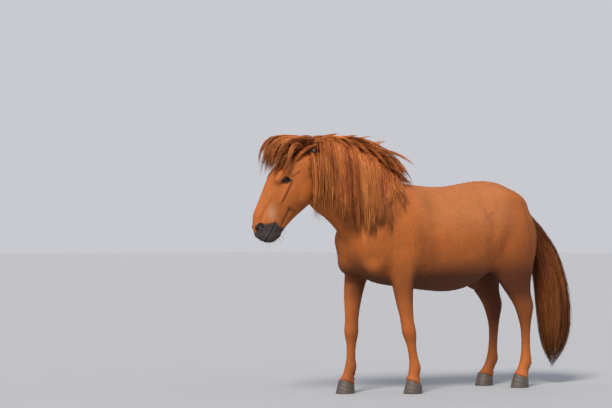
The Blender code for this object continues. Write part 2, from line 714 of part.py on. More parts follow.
def mane_locks(tree, random):
    """The lines of the mane's locks: hanging on the left, blown up and back over the top, and on the right."""
    crest = np.array(crest_points(tree, 30))
    made = []
    for kind, count, first, last in (("near", 15, 0.0, 0.95), ("top", 12, 0.0, 0.98), ("far", 7, 0.05, 0.9)):
        for i in range(count):
            share = first + (last - first) * (i + random.uniform(0.2, 0.8)) / count
            puff, near = mane_lengths(share)
            root = crest[int(round(share * 29))]
            swing = random.uniform(-0.03, 0.03)
            if kind == "near":
                high = puff * random.uniform(0.1, 0.75)
                start = root + (0, -0.012, high * 0.75)
                heading = (0.10 + 2 * swing, -1, 0.10)
                length = near * random.uniform(0.90, 1.12) + high
                line = hanging(tree, start, heading, length, 6, 0.75, random.uniform(0.014, 0.034))
            elif kind == "top":
                side = random.choice((LEFT, LEFT, RIGHT))
                start = root + (0, side * 0.008, puff * 0.45)
                heading = (0.45 + 5 * swing, 0.45 * side + random.uniform(-0.2, 0.2), 0.90)
                length = (0.20 + 1.0 * puff) * random.uniform(0.85, 1.15)
                line = lock_line(tree, start, heading, length, 5, 0.50, (0.26, 0.04 * side, 0), 0.024)
            else:
                start = root + (0, 0.012, puff * random.uniform(0.2, 0.6))
                length = near * random.uniform(0.68, 0.82)
                line = hanging(tree, start, (0.1 + swing, 1, 0.1), length, 5, 0.75, random.uniform(0.014, 0.030))
            width = random.uniform(0.070, 0.088)
            made.append((line, faces_along(tree, line, 0.1), width, width * 0.30))
    return made


def add_forelock_core(bm, tree, reach):
    """The body of the forelock, from between the ears out over the forehead."""
    rings = []
    for across in np.linspace(-0.060, 0.066, 6):
        root = lifted(tree, turned(head_point(-0.015, 0.05, across)[None])[0], 0.0)
        edge = 1 - 0.35 * (abs(across) / 0.066) ** 2
        high = 0.115 * edge * (0.3 + 0.7 * reach)
        top = lock_line(tree, root + (0.02, 0, high), (-1, across * 4, 0.20), 0.40 * reach, 5, 0.42, lift=0.035)
        low = lock_line(tree, root + (0.02, 0, -0.01), (-1, across, -0.3), 0.24 * reach, 5, 0.36, lift=-0.012)
        top[-1] = low[-1] + 0.3 * (top[-1] - low[-1])
        rings.append(np.concatenate([top, low[::-1]]))
    add_rings(bm, rings)


def forelock_locks(tree, random):
    """The lines of the forelock's locks, blown up and forward before they fall over the forehead."""
    made = []
    for i in range(16):
        layer = (0, 1, 2)[(i >= 6) + (i >= 11)]
        place = (i, i - 6, i - 11)[layer] + random.uniform(0.2, 0.8)
        across = -0.062 + 0.128 * place / (6, 5, 5)[layer]
        root = lifted(tree, turned(head_point(-0.010 + 0.018 * layer, 0.05, across)[None])[0], 0.0)
        high = (0.125, 0.080, 0.030)[layer] * random.uniform(0.85, 1.15)
        start = root + (0.0, 0, high * 0.5)
        heading = (-1, across * 5 + random.uniform(-0.15, 0.15), (0.80, 0.45, 0.15)[layer])
        length = (0.36, 0.29, 0.22)[layer] * random.uniform(0.90, 1.08)
        fall = (0.50, 0.48, 0.42)[layer]
        line = lock_line(tree, start, heading, length, 5, fall, (0.02, -0.01, 0), random.uniform(0.012, 0.03))
        width = random.uniform(0.052, 0.066)
        made.append((line, faces_along(tree, line, 0.1), width, width * 0.32))
    return made


def tail_locks(random):
    """The lines of the tail's locks, from the dock down through the outline of its slices."""
    rows = smooth_rows(tail_rows(1.0), 40)
    made = []
    for i in range(18):
        turn = 2 * math.pi * (i % 6 + random.uniform(0.2, 0.8)) / 6 + 0.5 * (i // 6)
        layer = i // 6
        start = (2, 7, 12)[layer] + random.randint(0, 3)
        stop = 39 - random.randint(0, 5) - (0, 5, 1)[layer]
        line, flat = [], []
        for k, at in enumerate(np.linspace(start, stop, 7)):
            row = rows[int(round(at))].copy()
            share = k / 6
            grow = np.interp(share, [0, 0.12, 0.3, 0.8, 1], [0.35, 0.70, 0.86, 1.0, 1.04 if i % 3 else 1.12])
            swing = turn + 0.35 * math.sin(2.2 * share + i)
            middle = np.array([(row[0] + row[2]) / 2, row[4], (row[1] + row[3]) / 2])
            reach = np.array([(row[2] - row[0]) / 2, 0, (row[3] - row[1]) / 2])
            out = math.sin(swing) * reach + np.array([0, math.cos(swing) * row[6], 0])
            line.append(middle + grow * out)
            flat.append(out / np.linalg.norm(out))
        line = np.array(line)
        line[:, 2] = np.maximum(line[:, 2], 0.04)
        width = random.uniform(0.085, 0.105)
        made.append((line, flat, width, width * 0.34))
    return made


def joined_locks(name, core, locks):
    """One closed solid from a core and its locks, by one Boolean union."""
    pieces = bpy.data.collections.new("pieces")
    bpy.context.scene.collection.children.link(pieces)
    for line, flat, width, thick in locks:
        bm = bmesh.new()
        add_lock(bm, line, flat, width, thick)
        piece = bmesh_object("piece", bm)
        bpy.context.scene.collection.objects.unlink(piece)
        pieces.objects.link(piece)
    made = bmesh_object(name, core)
    union = made.modifiers.new("union", "BOOLEAN")
    union.operation = "UNION"
    union.solver = "MANIFOLD"
    union.operand_type = "COLLECTION"
    union.collection = pieces
    settled(made)
    for piece in list(pieces.objects):
        bpy.data.objects.remove(piece)
    bpy.data.collections.remove(pieces)
    return made


def tail_rows(reach):
    """The tail from its root to its end, as slices from front to back."""
    rows = [
        (0.630, 1.120, 0.685, 1.190, 0, 0.030, 0.040, 0.030, 2.1),
        (0.700, 1.075, 0.765, 1.150, -0.002, 0.030, 0.045, 0.030, 2.1),
        (0.722, 1.000, 0.850, 1.060, -0.008, 0.040, 0.060, 0.035, 2.1),
        (0.742, 0.890, 0.942, 0.950, -0.018, 0.050, 0.072, 0.040, 2.1),
        (0.762, 0.755, 1.010, 0.790, -0.028, 0.050, 0.080, 0.040, 2.1),
        (0.782, 0.600, 1.052, 0.612, -0.038, 0.050, 0.080, 0.038, 2.1),
        (0.798, 0.440, 1.062, 0.440, -0.043, 0.045, 0.072, 0.034, 2.1),
        (0.820, 0.300, 1.042, 0.290, -0.045, 0.035, 0.056, 0.028, 2.1),
        (0.855, 0.200, 0.985, 0.190, -0.045, 0.020, 0.032, 0.018, 2.1),
        (0.900, 0.145, 0.935, 0.140, -0.045, 0.008, 0.010, 0.008, 2.0),
    ]
    return rows if reach > 0.9 else rows[:6] + [(0.870, 0.530, 0.950, 0.530, -0.038, 0.015, 0.024, 0.012, 2.0)]


def material(name, colour, roughness):
    made = bpy.data.materials.new(name)
    made.use_nodes = True
    shader = made.node_tree.nodes["Principled BSDF"]
    shader.inputs["Base Color"].default_value = (*colour, 1)
    shader.inputs["Roughness"].default_value = roughness
    shader.inputs["Metallic"].default_value = 0.0
    return made


def named(made, name, colour, roughness=0.75):
    """Gives a finished solid its name and material, in the model's own place."""
    made.data.transform(Matrix.Translation(Vector(ORIGIN_SHIFT)))
    made.data.materials.clear()
    made.data.materials.append(material(name, colour, roughness))
    made.name = name
    made.data.name = name
    return made


def main():
    for old in list(bpy.data.objects):
        bpy.data.objects.remove(old)
    body_skin = flesh_skin(0.008, 0.055)
    head_skin = flesh_skin(0.0045, 0.030, whole=False)
    tree = skin_tree([body_skin, head_skin])
    nodes = []

    throat, poll = np.array([-0.925, 0, 1.160]), np.array([-0.955, 0, 1.60])
    behind_head = turned_plane(throat, poll, (1, 0, 0))
    chest, withers = np.array([-0.700, 0, 0.930]), np.array([-0.420, 0, 1.420])
    before_chest = turned_plane(chest, withers, (-1, 0, 0))
    head_planes = [behind_head]
    neck_planes = [(before_chest[0], -before_chest[1]), (behind_head[0], -behind_head[1])]

    points, quads = head_skin
    head = mesh_object("head", points, quads)
    rough_cut = block([(behind_head[0] + np.array([0.04, 0, 0]), behind_head[1])])
    combined(head, rough_cut, "INTERSECT")
    decimated(head, 3300)
    combined(head, block(head_planes, -GAP / 2), "INTERSECT")

    points, quads = body_skin
    body = mesh_object("body", points, quads)
    legs_body = decimated(copy_of(body, "legs_body"), 6200)
    decimated(body, 3200)
    neck = copy_of(body, "neck")
    combined(neck, block(neck_planes, -GAP / 2), "INTERSECT")
    combined(body, block([before_chest], -GAP / 2), "INTERSECT")
    for side, word in ((LEFT, "left"), (RIGHT, "right")):
        top = FORE_AXIS[side][4][1]
        forward = HIND_FORWARD[side]
        kinds = {
            "fore": leg_planes(side, (top - 0.130, top - 0.080), (top + 0.135, top + 0.085), 0.690, 0.900, 0.045, 0.230),
            "hind": leg_planes(side, (0.320 - 0.55 * forward, 0.210), (0.800, 0.800), 0.780, 1.010, 0.004, 0.270),
        }
        for kind, planes in kinds.items():
            leg = copy_of(legs_body, kind)
            combined(leg, block(planes), "INTERSECT")
            combined(body, block(planes, GAP), "DIFFERENCE")
            if kind == "fore":
                centre, y = FORE_AXIS[side][0][1], side * LEG_SPREAD * 0.96
            else:
                centre, y = 0.612 - forward, side * 0.126
            coronet = ((centre - 0.074, y, 0.086), (0.044, 0, 0.104))
            combined(leg, block([(coronet[0], (-0.044, 0, -0.104))], -GAP / 2), "INTERSECT")
            hoof_bm = bmesh.new()
            add_rings(hoof_bm, [slice_ring(row, 16) for row in smooth_rows(hoof_rows(centre, y), 4)])
            hoof = bmesh_object("hoof", hoof_bm)
            combined(hoof, block([coronet], -GAP / 2), "INTERSECT")
            nodes.append(named(largest(leg), f"leg_{kind}_{word}", CHESTNUT))
            nodes.append(named(hoof, f"hoof_{kind}_{word}", HORN, 0.5))
    bpy.data.objects.remove(legs_body)

    ears = []
    for side, word in ((LEFT, "left"), (RIGHT, "right")):
        ball = bmesh.new()
        centre = turned(head_point(EYE[0], EYE[1], side * EYE[2])[None])[0]
        bmesh.ops.create_icosphere(ball, subdivisions=2, radius=EYE_RADIUS, matrix=Matrix.Translation(Vector(centre)))
        eye = bmesh_object("eye", ball)
        combined(head, inflated(eye, 0.0006), "DIFFERENCE")
        nodes.append(named(eye, f"eye_{word}", EYE_COLOUR, 0.1))
    largest(head)
    around = [inflated(made, 0.0006) for made in (head, neck, body)]
    for side, word in ((LEFT, "left"), (RIGHT, "right")):
        curl = bmesh.new()
        add_ear(curl, side)
        ear = bmesh_object("ear", curl)
        combined(ear, around[0], "DIFFERENCE", keep=True)
        ears.append((largest(ear), f"ear_{word}"))

    mane_core, forelock_core, tail_core = bmesh.new(), bmesh.new(), bmesh.new()
    add_mane_core(mane_core, tree, 0.45)
    add_forelock_core(forelock_core, tree, 0.50)
    add_rings(tail_core, [slice_ring(row, 12) for row in smooth_rows(tail_rows(0.5), 9)])
    forms = {
        "mane": joined_locks("mane", mane_core, mane_locks(tree, random.Random(3))),
        "forelock": joined_locks("forelock", forelock_core, forelock_locks(tree, random.Random(5))),
        "tail": joined_locks("tail", tail_core, tail_locks(random.Random(7))),
    }
    for name, triangles in (("mane", 2750), ("forelock", 1150), ("tail", 1900)):
        decimated(forms[name], triangles)
    before_ears = turned_plane(np.array([-0.960, 0, 1.40]), np.array([-0.990, 0, 1.70]), (1, 0, 0))
    behind_ears = (before_ears[0], -before_ears[1])
    combined(forms["mane"], block([behind_ears], -GAP / 2), "INTERSECT", "MANIFOLD")
    combined(forms["forelock"], block([before_ears], -GAP / 2), "INTERSECT", "MANIFOLD")
    grown_ears = []
    for side in (LEFT, RIGHT):
        curl = bmesh.new()
        add_ear(curl, side, grow=0.0010)
        grown_ears.append(bmesh_object("grown", curl))
    for form in forms.values():
        for cutter in around + grown_ears:
            combined(form, cutter, "DIFFERENCE", "MANIFOLD", keep=True)
        largest(form)
    for cutter in around + grown_ears:
        bpy.data.objects.remove(cutter)
    for ear, name in ears:
        nodes.append(named(ear, name, CHESTNUT))
    nodes.append(named(head, "head", CHESTNUT))
    nodes.append(named(largest(neck), "neck", CHESTNUT))
    nodes.append(named(largest(body), "torso", CHESTNUT))
    for name, form in forms.items():
        nodes.append(named(form, name, HAIR, 0.6))


if __name__ == "__main__":
    main()
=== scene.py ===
"""The looks of a standing chestnut horse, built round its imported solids: one skin with its short coat,
the mane, forelock and tail as strands, and the eyes, ears and hooves."""

import math
import random

import bmesh
import bpy
import numpy as np
from mathutils import Matrix, Vector
from mathutils.bvhtree import BVHTree


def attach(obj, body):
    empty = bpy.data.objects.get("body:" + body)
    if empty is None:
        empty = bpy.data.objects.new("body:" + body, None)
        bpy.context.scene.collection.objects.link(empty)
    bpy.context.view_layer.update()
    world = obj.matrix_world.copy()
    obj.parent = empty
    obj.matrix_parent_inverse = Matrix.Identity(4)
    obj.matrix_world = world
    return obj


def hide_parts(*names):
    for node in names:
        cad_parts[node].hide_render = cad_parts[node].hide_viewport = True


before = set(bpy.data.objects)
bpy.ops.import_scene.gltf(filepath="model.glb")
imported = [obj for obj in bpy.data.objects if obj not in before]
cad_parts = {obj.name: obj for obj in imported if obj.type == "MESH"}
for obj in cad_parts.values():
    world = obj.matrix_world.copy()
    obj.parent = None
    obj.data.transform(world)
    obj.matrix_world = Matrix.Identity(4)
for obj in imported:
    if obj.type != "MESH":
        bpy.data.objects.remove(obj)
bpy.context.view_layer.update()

bl_info = {
    "name": "Long-maned Horse",
    "version": (1, 0, 0),
    "blender": (4, 5, 0),
    "location": "3D View > Sidebar > Horse",
    "description": "Builds a standing chestnut horse with its coat, mane, forelock and tail",
    "category": "Object",
}

# Sizes of the horse, in metres. Places on the head are told down it from the poll, forward and aside.
# The eyes, ears, nostrils and mouth were measured again and lie a little apart from those of the solids.
HEAD_PITCH = math.radians(29)
POLL = np.array([-0.975, 0.0, 1.490])
ORIGIN_SHIFT = np.array([0.139, 0.0, 0.0])
TURN = math.radians(8)
TURN_FROM = -0.45
TURN_TO = -0.92
LEG_SPREAD = 0.125
RING_POINTS = 40
EYE = (0.210, 0.090, 0.068)
EYE_TILT = (0.6225, 0.7826)
ALMOND = (0.0200, 0.0105)
EYE_RADIUS = 0.0210
NOSTRIL_LINE = [(0.590, 0.076), (0.568, 0.090), (0.544, 0.098), (0.527, 0.095), (0.523, 0.084), (0.534, 0.073)]
MOUTH = [(0.470, 0.014), (0.500, 0.009), (0.550, 0.010), (0.600, 0.017), (0.640, 0.024)]
EAR_LENGTH = 0.178
NOSTRIL_REACH = 0.0068
EYE_BEND = 9.0
EYE_RISE = 0.001
SOLE_CENTRES = [(-0.245, -0.120), (-0.600, 0.120), (0.612, -0.126), (0.512, 0.126)]
# The slanting edge of a hoof's horn: how far it lies behind and over the middle of the foot, and its slope.
CORONET_BACK, CORONET_HIGH = 0.074, 0.086
CORONET_SLOPE = (0.044, 0, 0.104)
LEFT, RIGHT = -1, 1
DOWN = np.array([0.0, 0.0, -1.0])

# Cells of the skin's first mesh, the reach of its smoothing, and the share of the trunk's faces that is kept.
SKIN_VOXEL = 0.0045
SMOOTH_REACH = 0.055
TRUNK_SHARE = 0.34

# Points along a strand of long hair, points along its guide, and the height where the hair is pressed down.
HAIR_STEPS = 9
GUIDE_STEPS = 33
HAIR_TOP = 1.610
HAIR_PRESS = 0.45
HAIR_LIFT = 0.003
TAIL_SLICES = 60
CREST_PLACES = 80

# Points of a tuft, the size of one on the coat's map, and how far along it each point lies.
TUFT_POINTS = 4
MAP_SIZE = 0.0015
TUFT_MAP = MAP_SIZE * np.array([[-1, -1], [1, -1], [0, 0], [0, 1]])
TUFT_ALONG = [0.0, 0.0, 0.4, 1.0]

# Rings of an ear and points in each half of a ring, outside and inside, and the points at its edges.
EAR_RINGS = 26
EAR_ARC = 22
EAR_EDGES = (0, EAR_ARC - 1, EAR_ARC, 2 * EAR_ARC - 1)
HOOF_POINTS = 64
BRISTLE_POINTS = 5
LASHES = 34
WHISKERS, LIP_WHISKERS = 84, 52

# The picture's width and the camera's focal length in its dots, and how far off and how high the camera is.
PICTURE_WIDTH = 612
FOCAL_DOTS = 2170
CAMERA_AWAY, CAMERA_HEIGHT = 14.0, 1.2
CAMERA_RIGHT = np.array([0.8387, -0.5446, 0.0])
CAMERA_BACK = np.array([-0.5446, -0.8387, 0.0])

# What the functions below have made of the body, kept for the next one.
MADE = {}


def unit(way):
    """A direction with a length of 1."""
    return way / np.linalg.norm(way)


def units(ways):
    """Rows of directions, each with a length of 1."""
    return ways / np.linalg.norm(ways, axis=1)[:, None]


def linked(name, data):
    """A new object in the scene."""
    made = bpy.data.objects.new(name, data)
    bpy.context.scene.collection.objects.link(made)
    return made


def shaded_smooth(made):
    """Gives an object smooth shading."""
    made.data.polygons.foreach_set("use_smooth", np.full(len(made.data.polygons), True))
    return made


def smooth_rows(rows, count):
    """Rows of numbers read at count even steps along a smooth curve through them."""
    rows = np.array(rows, float)
    middle = (rows[:, 0:2] + rows[:, 2:4]) / 2
    size = np.linalg.norm(rows[:, 2:4] - rows[:, 0:2], axis=1)
    step = np.linalg.norm(np.diff(middle, axis=0), axis=1) + 0.35 * np.abs(np.diff(size)) + 1e-4
    at = np.concatenate([[0], np.cumsum(step)])
    return curve_through(at, rows, np.linspace(0, at[-1], count))


def curve_through(at, rows, wanted):
    """A cubic curve through rows at the places at, read at the places wanted."""
    slope = np.empty_like(rows)
    slope[1:-1] = (rows[2:] - rows[:-2]) / (at[2:] - at[:-2])[:, None]
    slope[0] = (rows[1] - rows[0]) / (at[1] - at[0])
    slope[-1] = (rows[-1] - rows[-2]) / (at[-1] - at[-2])
    i = np.clip(np.searchsorted(at, wanted, side="right") - 1, 0, len(at) - 2)
    width = (at[i + 1] - at[i])[:, None]
    t = ((wanted - at[i]) / (at[i + 1] - at[i]))[:, None]
    return (
        (1 + 2 * t) * (1 - t) ** 2 * rows[i]
        + t * (1 - t) ** 2 * width * slope[i]
        + t * t * (3 - 2 * t) * rows[i + 1]
        + t * t * (t - 1) * width * slope[i + 1]
    )


def slice_ring(row, points=RING_POINTS):
    """One closed section. A row is the x and z of its low or front end, those of its high or back end,
    the middle's y, the half widths at the first end, the middle and the second end, and how square it is."""
    ax, az, bx, bz, y, wide_a, wide_m, wide_b, square = row
    angle = np.linspace(0, 2 * math.pi, points, endpoint=False)
    c, s = np.cos(angle), np.sin(angle)
    along = np.sign(s) * np.abs(s) ** (2 / square)
    across = np.sign(c) * np.abs(c) ** (2 / square)
    wide = wide_m * (1 - along**2) + np.where(along < 0, wide_a, wide_b) * along**2
    ring = np.empty((points, 3))
    ring[:, 0] = (ax + bx) / 2 + (bx - ax) / 2 * along
    ring[:, 1] = y + across * wide
    ring[:, 2] = (az + bz) / 2 + (bz - az) / 2 * along
    return ring


def add_rings(bm, rings):
    """Joins a row of equal rings into one closed skin."""
    made = [[bm.verts.new(p) for p in ring] for ring in rings]
    for low, high in zip(made, made[1:]):
        for i in range(len(low)):
            j = (i + 1) % len(low)
            bm.faces.new((low[i], low[j], high[j]))
            bm.faces.new((low[i], high[j], high[i]))
    bm.faces.new(list(reversed(made[0])))
    bm.faces.new(made[-1])


def add_loft(bm, rows, count):
    """Joins slices into one closed skin, smoothly, with count rings."""
    add_rings(bm, [slice_ring(row) for row in smooth_rows(rows, count)])


def add_ball(bm, centre, radii, pitch=0.0, roll=0.0):
    """An ellipsoid. Pitch turns it about Y and roll about X."""
    turn = Matrix.Rotation(pitch, 4, "Y") @ Matrix.Rotation(roll, 4, "X")
    place = Matrix.Translation(Vector(centre)) @ turn @ Matrix.Diagonal((*radii, 1))
    bmesh.ops.create_icosphere(bm, subdivisions=3, radius=1.0, matrix=place)


def torso_rows():
    """The trunk from breast to buttock, as slices from belly to back."""
    table = [
        # x, belly z, back z, half widths at belly, middle and back, squareness
        (-0.700, 0.890, 1.010, 0.060, 0.085, 0.050, 2.2),
        (-0.650, 0.795, 1.150, 0.110, 0.152, 0.080, 2.2),
        (-0.560, 0.725, 1.285, 0.140, 0.190, 0.080, 2.2),
        (-0.460, 0.690, 1.335, 0.160, 0.212, 0.065, 2.2),
        (-0.360, 0.675, 1.352, 0.185, 0.228, 0.075, 2.2),
        (-0.240, 0.660, 1.335, 0.220, 0.252, 0.110, 2.2),
        (-0.100, 0.643, 1.318, 0.245, 0.277, 0.150, 2.2),
        (0.040, 0.632, 1.316, 0.255, 0.292, 0.180, 2.2),
        (0.160, 0.645, 1.332, 0.245, 0.290, 0.200, 2.25),
        (0.280, 0.690, 1.350, 0.210, 0.272, 0.205, 2.3),
        (0.400, 0.760, 1.354, 0.170, 0.255, 0.200, 2.3),
        (0.510, 0.830, 1.328, 0.140, 0.235, 0.175, 2.3),
        (0.610, 0.900, 1.258, 0.110, 0.195, 0.125, 2.2),
        (0.675, 0.980, 1.195, 0.070, 0.130, 0.080, 2.2),
        (0.700, 1.040, 1.130, 0.030, 0.060, 0.040, 2.0),
    ]
    return [(x, low, x, top, 0, wl, wm, wt, n) for x, low, top, wl, wm, wt, n in table]


def neck_rows():
    """The neck from inside the chest to the poll, as slices from throat to crest."""
    return [
        (-0.480, 0.780, -0.300, 1.325, 0, 0.120, 0.170, 0.050, 2.1),
        (-0.600, 0.840, -0.405, 1.362, 0, 0.115, 0.165, 0.048, 2.1),
        (-0.680, 0.915, -0.508, 1.402, 0, 0.095, 0.142, 0.044, 2.1),
        (-0.742, 0.992, -0.603, 1.443, 0, 0.080, 0.122, 0.040, 2.1),
        (-0.800, 1.055, -0.697, 1.480, 0, 0.070, 0.108, 0.038, 2.1),
        (-0.862, 1.110, -0.790, 1.508, 0, 0.064, 0.098, 0.038, 2.1),
        (-0.920, 1.155, -0.880, 1.526, 0, 0.058, 0.090, 0.039, 2.1),
        (-0.962, 1.200, -0.955, 1.528, 0, 0.052, 0.083, 0.040, 2.1),
        (-0.990, 1.250, -1.005, 1.510, 0, 0.045, 0.072, 0.036, 2.1),
    ]


HEAD_ALONG = np.array([-math.sin(HEAD_PITCH), 0.0, -math.cos(HEAD_PITCH)])
HEAD_UP = np.array([-math.cos(HEAD_PITCH), 0.0, math.sin(HEAD_PITCH)])


def head_point(s, t, y=0.0):
    """A place on the head: s metres from the poll to the lips, t towards the forehead, y to the side."""
    return POLL + s * HEAD_ALONG + t * HEAD_UP + np.array([0.0, y, 0.0])


def head_rows():
    """The head from poll to lips, as slices from jaw to forehead."""
    table = [
        # s, jaw t, forehead t, half widths at jaw, middle and forehead, squareness
        (-0.020, -0.090, 0.045, 0.040, 0.070, 0.045, 2.1),
        (0.020, -0.120, 0.088, 0.044, 0.080, 0.058, 2.2),
        (0.070, -0.140, 0.127, 0.047, 0.087, 0.068, 2.3),
        (0.130, -0.152, 0.156, 0.050, 0.090, 0.075, 2.4),
        (0.190, -0.158, 0.170, 0.052, 0.090, 0.077, 2.4),
        (0.250, -0.152, 0.172, 0.050, 0.085, 0.068, 2.4),
        (0.310, -0.130, 0.167, 0.045, 0.075, 0.056, 2.4),
        (0.370, -0.106, 0.161, 0.041, 0.065, 0.048, 2.4),
        (0.430, -0.087, 0.155, 0.037, 0.057, 0.043, 2.4),
        (0.480, -0.075, 0.149, 0.036, 0.053, 0.042, 2.5),
        (0.520, -0.066, 0.132, 0.037, 0.052, 0.043, 2.5),
        (0.550, -0.058, 0.115, 0.037, 0.050, 0.042, 2.5),
        (0.575, -0.044, 0.096, 0.033, 0.045, 0.038, 2.4),
        (0.594, -0.022, 0.075, 0.024, 0.034, 0.028, 2.3),
        (0.605, 0.005, 0.050, 0.012, 0.018, 0.014, 2.0),
    ]
    rows = []
    for s, jaw, brow, wj, wm, wb, n in table:
        low, high = head_point(s, jaw), head_point(s, brow)
        rows.append((low[0], low[2], high[0], high[2], 0, wj, wm, wb, n))
    return rows


def fore_leg_rows(axis, side):
    """A fore leg as level slices from front to back, round an axis whose x changes with height."""
    table = [
        # z, front, back, half widths at front, middle and back, y share
        (0.900, -0.100, 0.105, 0.060, 0.072, 0.050, 1.14),
        (0.830, -0.092, 0.105, 0.058, 0.070, 0.050, 1.14),
        (0.770, -0.086, 0.098, 0.056, 0.067, 0.046, 1.12),
        (0.710, -0.082, 0.084, 0.052, 0.062, 0.042, 1.10),
        (0.650, -0.076, 0.070, 0.048, 0.057, 0.038, 1.08),
        (0.580, -0.066, 0.056, 0.043, 0.050, 0.034, 1.06),
        (0.510, -0.055, 0.047, 0.038, 0.043, 0.032, 1.04),
        (0.455, -0.049, 0.044, 0.037, 0.041, 0.033, 1.03),
        (0.415, -0.049, 0.047, 0.040, 0.045, 0.034, 1.02),
        (0.380, -0.048, 0.050, 0.040, 0.045, 0.032, 1.01),
        (0.345, -0.039, 0.044, 0.034, 0.038, 0.028, 1.00),
        (0.305, -0.031, 0.038, 0.027, 0.030, 0.024, 0.99),
        (0.245, -0.028, 0.036, 0.024, 0.027, 0.023, 0.98),
        (0.200, -0.030, 0.040, 0.027, 0.030, 0.027, 0.97),
        (0.170, -0.035, 0.045, 0.032, 0.036, 0.033, 0.96),
        (0.140, -0.043, 0.040, 0.031, 0.035, 0.031, 0.96),
        (0.112, -0.056, 0.026, 0.030, 0.033, 0.029, 0.96),
        (0.085, -0.078, 0.024, 0.039, 0.047, 0.040, 0.96),
        (0.055, -0.086, 0.032, 0.042, 0.051, 0.044, 0.96),
        (0.020, -0.088, 0.034, 0.040, 0.050, 0.042, 0.96),
    ]
    heights, places = np.array(axis).T
    rows = []
    for z, front, back, wf, wm, wb, spread in table:
        x = np.interp(z, heights, places)
        rows.append((x + front, z, x + back, z, side * LEG_SPREAD * spread, wf, wm, wb, 2.2))
    return rows


def hind_leg_rows(forward, side):
    """A hind leg as level slices from front to back. The foot stands forward of square by the length given."""
    table = [
        # z, front x, back x, half widths at front, middle and back, y
        (1.200, 0.390, 0.600, 0.060, 0.090, 0.050, 0.130),
        (1.100, 0.320, 0.675, 0.080, 0.115, 0.065, 0.138),
        (1.000, 0.285, 0.702, 0.085, 0.120, 0.070, 0.145),
        (0.910, 0.275, 0.696, 0.080, 0.112, 0.064, 0.150),
        (0.840, 0.290, 0.682, 0.070, 0.098, 0.058, 0.152),
        (0.770, 0.330, 0.668, 0.060, 0.082, 0.050, 0.150),
        (0.705, 0.378, 0.658, 0.050, 0.068, 0.040, 0.147),
        (0.645, 0.430, 0.658, 0.042, 0.056, 0.030, 0.144),
        (0.595, 0.478, 0.666, 0.038, 0.048, 0.025, 0.141),
        (0.555, 0.512, 0.682, 0.036, 0.043, 0.025, 0.138),
        (0.520, 0.536, 0.684, 0.037, 0.043, 0.027, 0.136),
        (0.480, 0.556, 0.676, 0.036, 0.042, 0.028, 0.134),
        (0.440, 0.572, 0.668, 0.032, 0.037, 0.027, 0.132),
        (0.390, 0.586, 0.663, 0.027, 0.031, 0.025, 0.130),
        (0.310, 0.594, 0.661, 0.024, 0.028, 0.023, 0.128),
        (0.230, 0.594, 0.664, 0.025, 0.029, 0.025, 0.127),
        (0.180, 0.587, 0.671, 0.032, 0.036, 0.032, 0.126),
        (0.148, 0.576, 0.666, 0.031, 0.035, 0.031, 0.126),
        (0.116, 0.560, 0.646, 0.029, 0.032, 0.029, 0.126),
        (0.086, 0.535, 0.638, 0.038, 0.046, 0.039, 0.126),
        (0.055, 0.527, 0.644, 0.041, 0.050, 0.043, 0.126),
        (0.020, 0.525, 0.646, 0.040, 0.049, 0.042, 0.126),
    ]
    rows = []
    for z, front, back, wf, wm, wb, y in table:
        shift = -forward * max(0.0, 1 - z / 1.0)
        rows.append((front + shift, z, back + shift, z, side * y, wf, wm, wb, 2.2))
    return rows


FORE_AXIS = {
    LEFT: [(0.0, -0.245), (0.17, -0.268), (0.39, -0.312), (0.60, -0.350), (0.80, -0.385), (1.0, -0.42)],
    RIGHT: [(0.0, -0.600), (0.17, -0.596), (0.39, -0.582), (0.60, -0.560), (0.80, -0.530), (1.0, -0.50)],
}
HIND_FORWARD = {LEFT: 0.0, RIGHT: 0.10}
SHEATH = (0.290, 0.0, 0.688)


def add_muscles(bm):
    """The big muscles and bones that fill out the trunk and the tops of the legs."""
    for side in (LEFT, RIGHT):
        lean = FORE_AXIS[side][4][1] + 0.46
        for x, y, z, radii, pitch in [
            (-0.505 + 0.3 * lean, 0.122, 1.070, (0.105, 0.078, 0.215), 26),
            (-0.455 + 0.8 * lean, 0.142, 0.905, (0.125, 0.070, 0.125), 20),
            (-0.625 + 0.3 * lean, 0.085, 0.950, (0.082, 0.088, 0.140), -14),
            (-0.590 + 0.5 * lean, 0.083, 0.835, (0.090, 0.074, 0.095), 0),
            (0.290, 0.150, 1.185, (0.095, 0.072, 0.085), -20),
            (0.430, 0.105, 1.205, (0.225, 0.120, 0.112), 10),
            (0.590, 0.108, 1.030, (0.098, 0.088, 0.210), -6),
            (0.345, 0.158, 0.870, (0.085, 0.060, 0.110), -20),
        ]:
            add_ball(bm, (x, side * y, z), radii, pitch=math.radians(pitch))
    add_ball(bm, SHEATH, (0.075, 0.040, 0.048), pitch=math.radians(25))


def add_head_forms(bm):
    """The bony and fleshy forms of the head: brow, cheek, crest of the face, nostril, lips and chin."""
    for side in (LEFT, RIGHT):
        for s, t, y, radii in [
            (0.212, 0.122, 0.060, (0.034, 0.034, 0.052)),
            (0.180, -0.052, 0.044, (0.098, 0.046, 0.125)),
            (0.310, 0.060, 0.050, (0.020, 0.020, 0.085)),
            (0.545, 0.074, 0.025, (0.040, 0.026, 0.026)),
        ]:
            add_ball(bm, head_point(s, t, side * y), radii, pitch=HEAD_PITCH)
    for s, t, radii in [
        (0.572, 0.056, (0.034, 0.042, 0.034)),
        (0.552, -0.012, (0.034, 0.040, 0.042)),
        (0.515, -0.044, (0.028, 0.034, 0.036)),
    ]:
        add_ball(bm, head_point(s, t), radii, pitch=HEAD_PITCH)


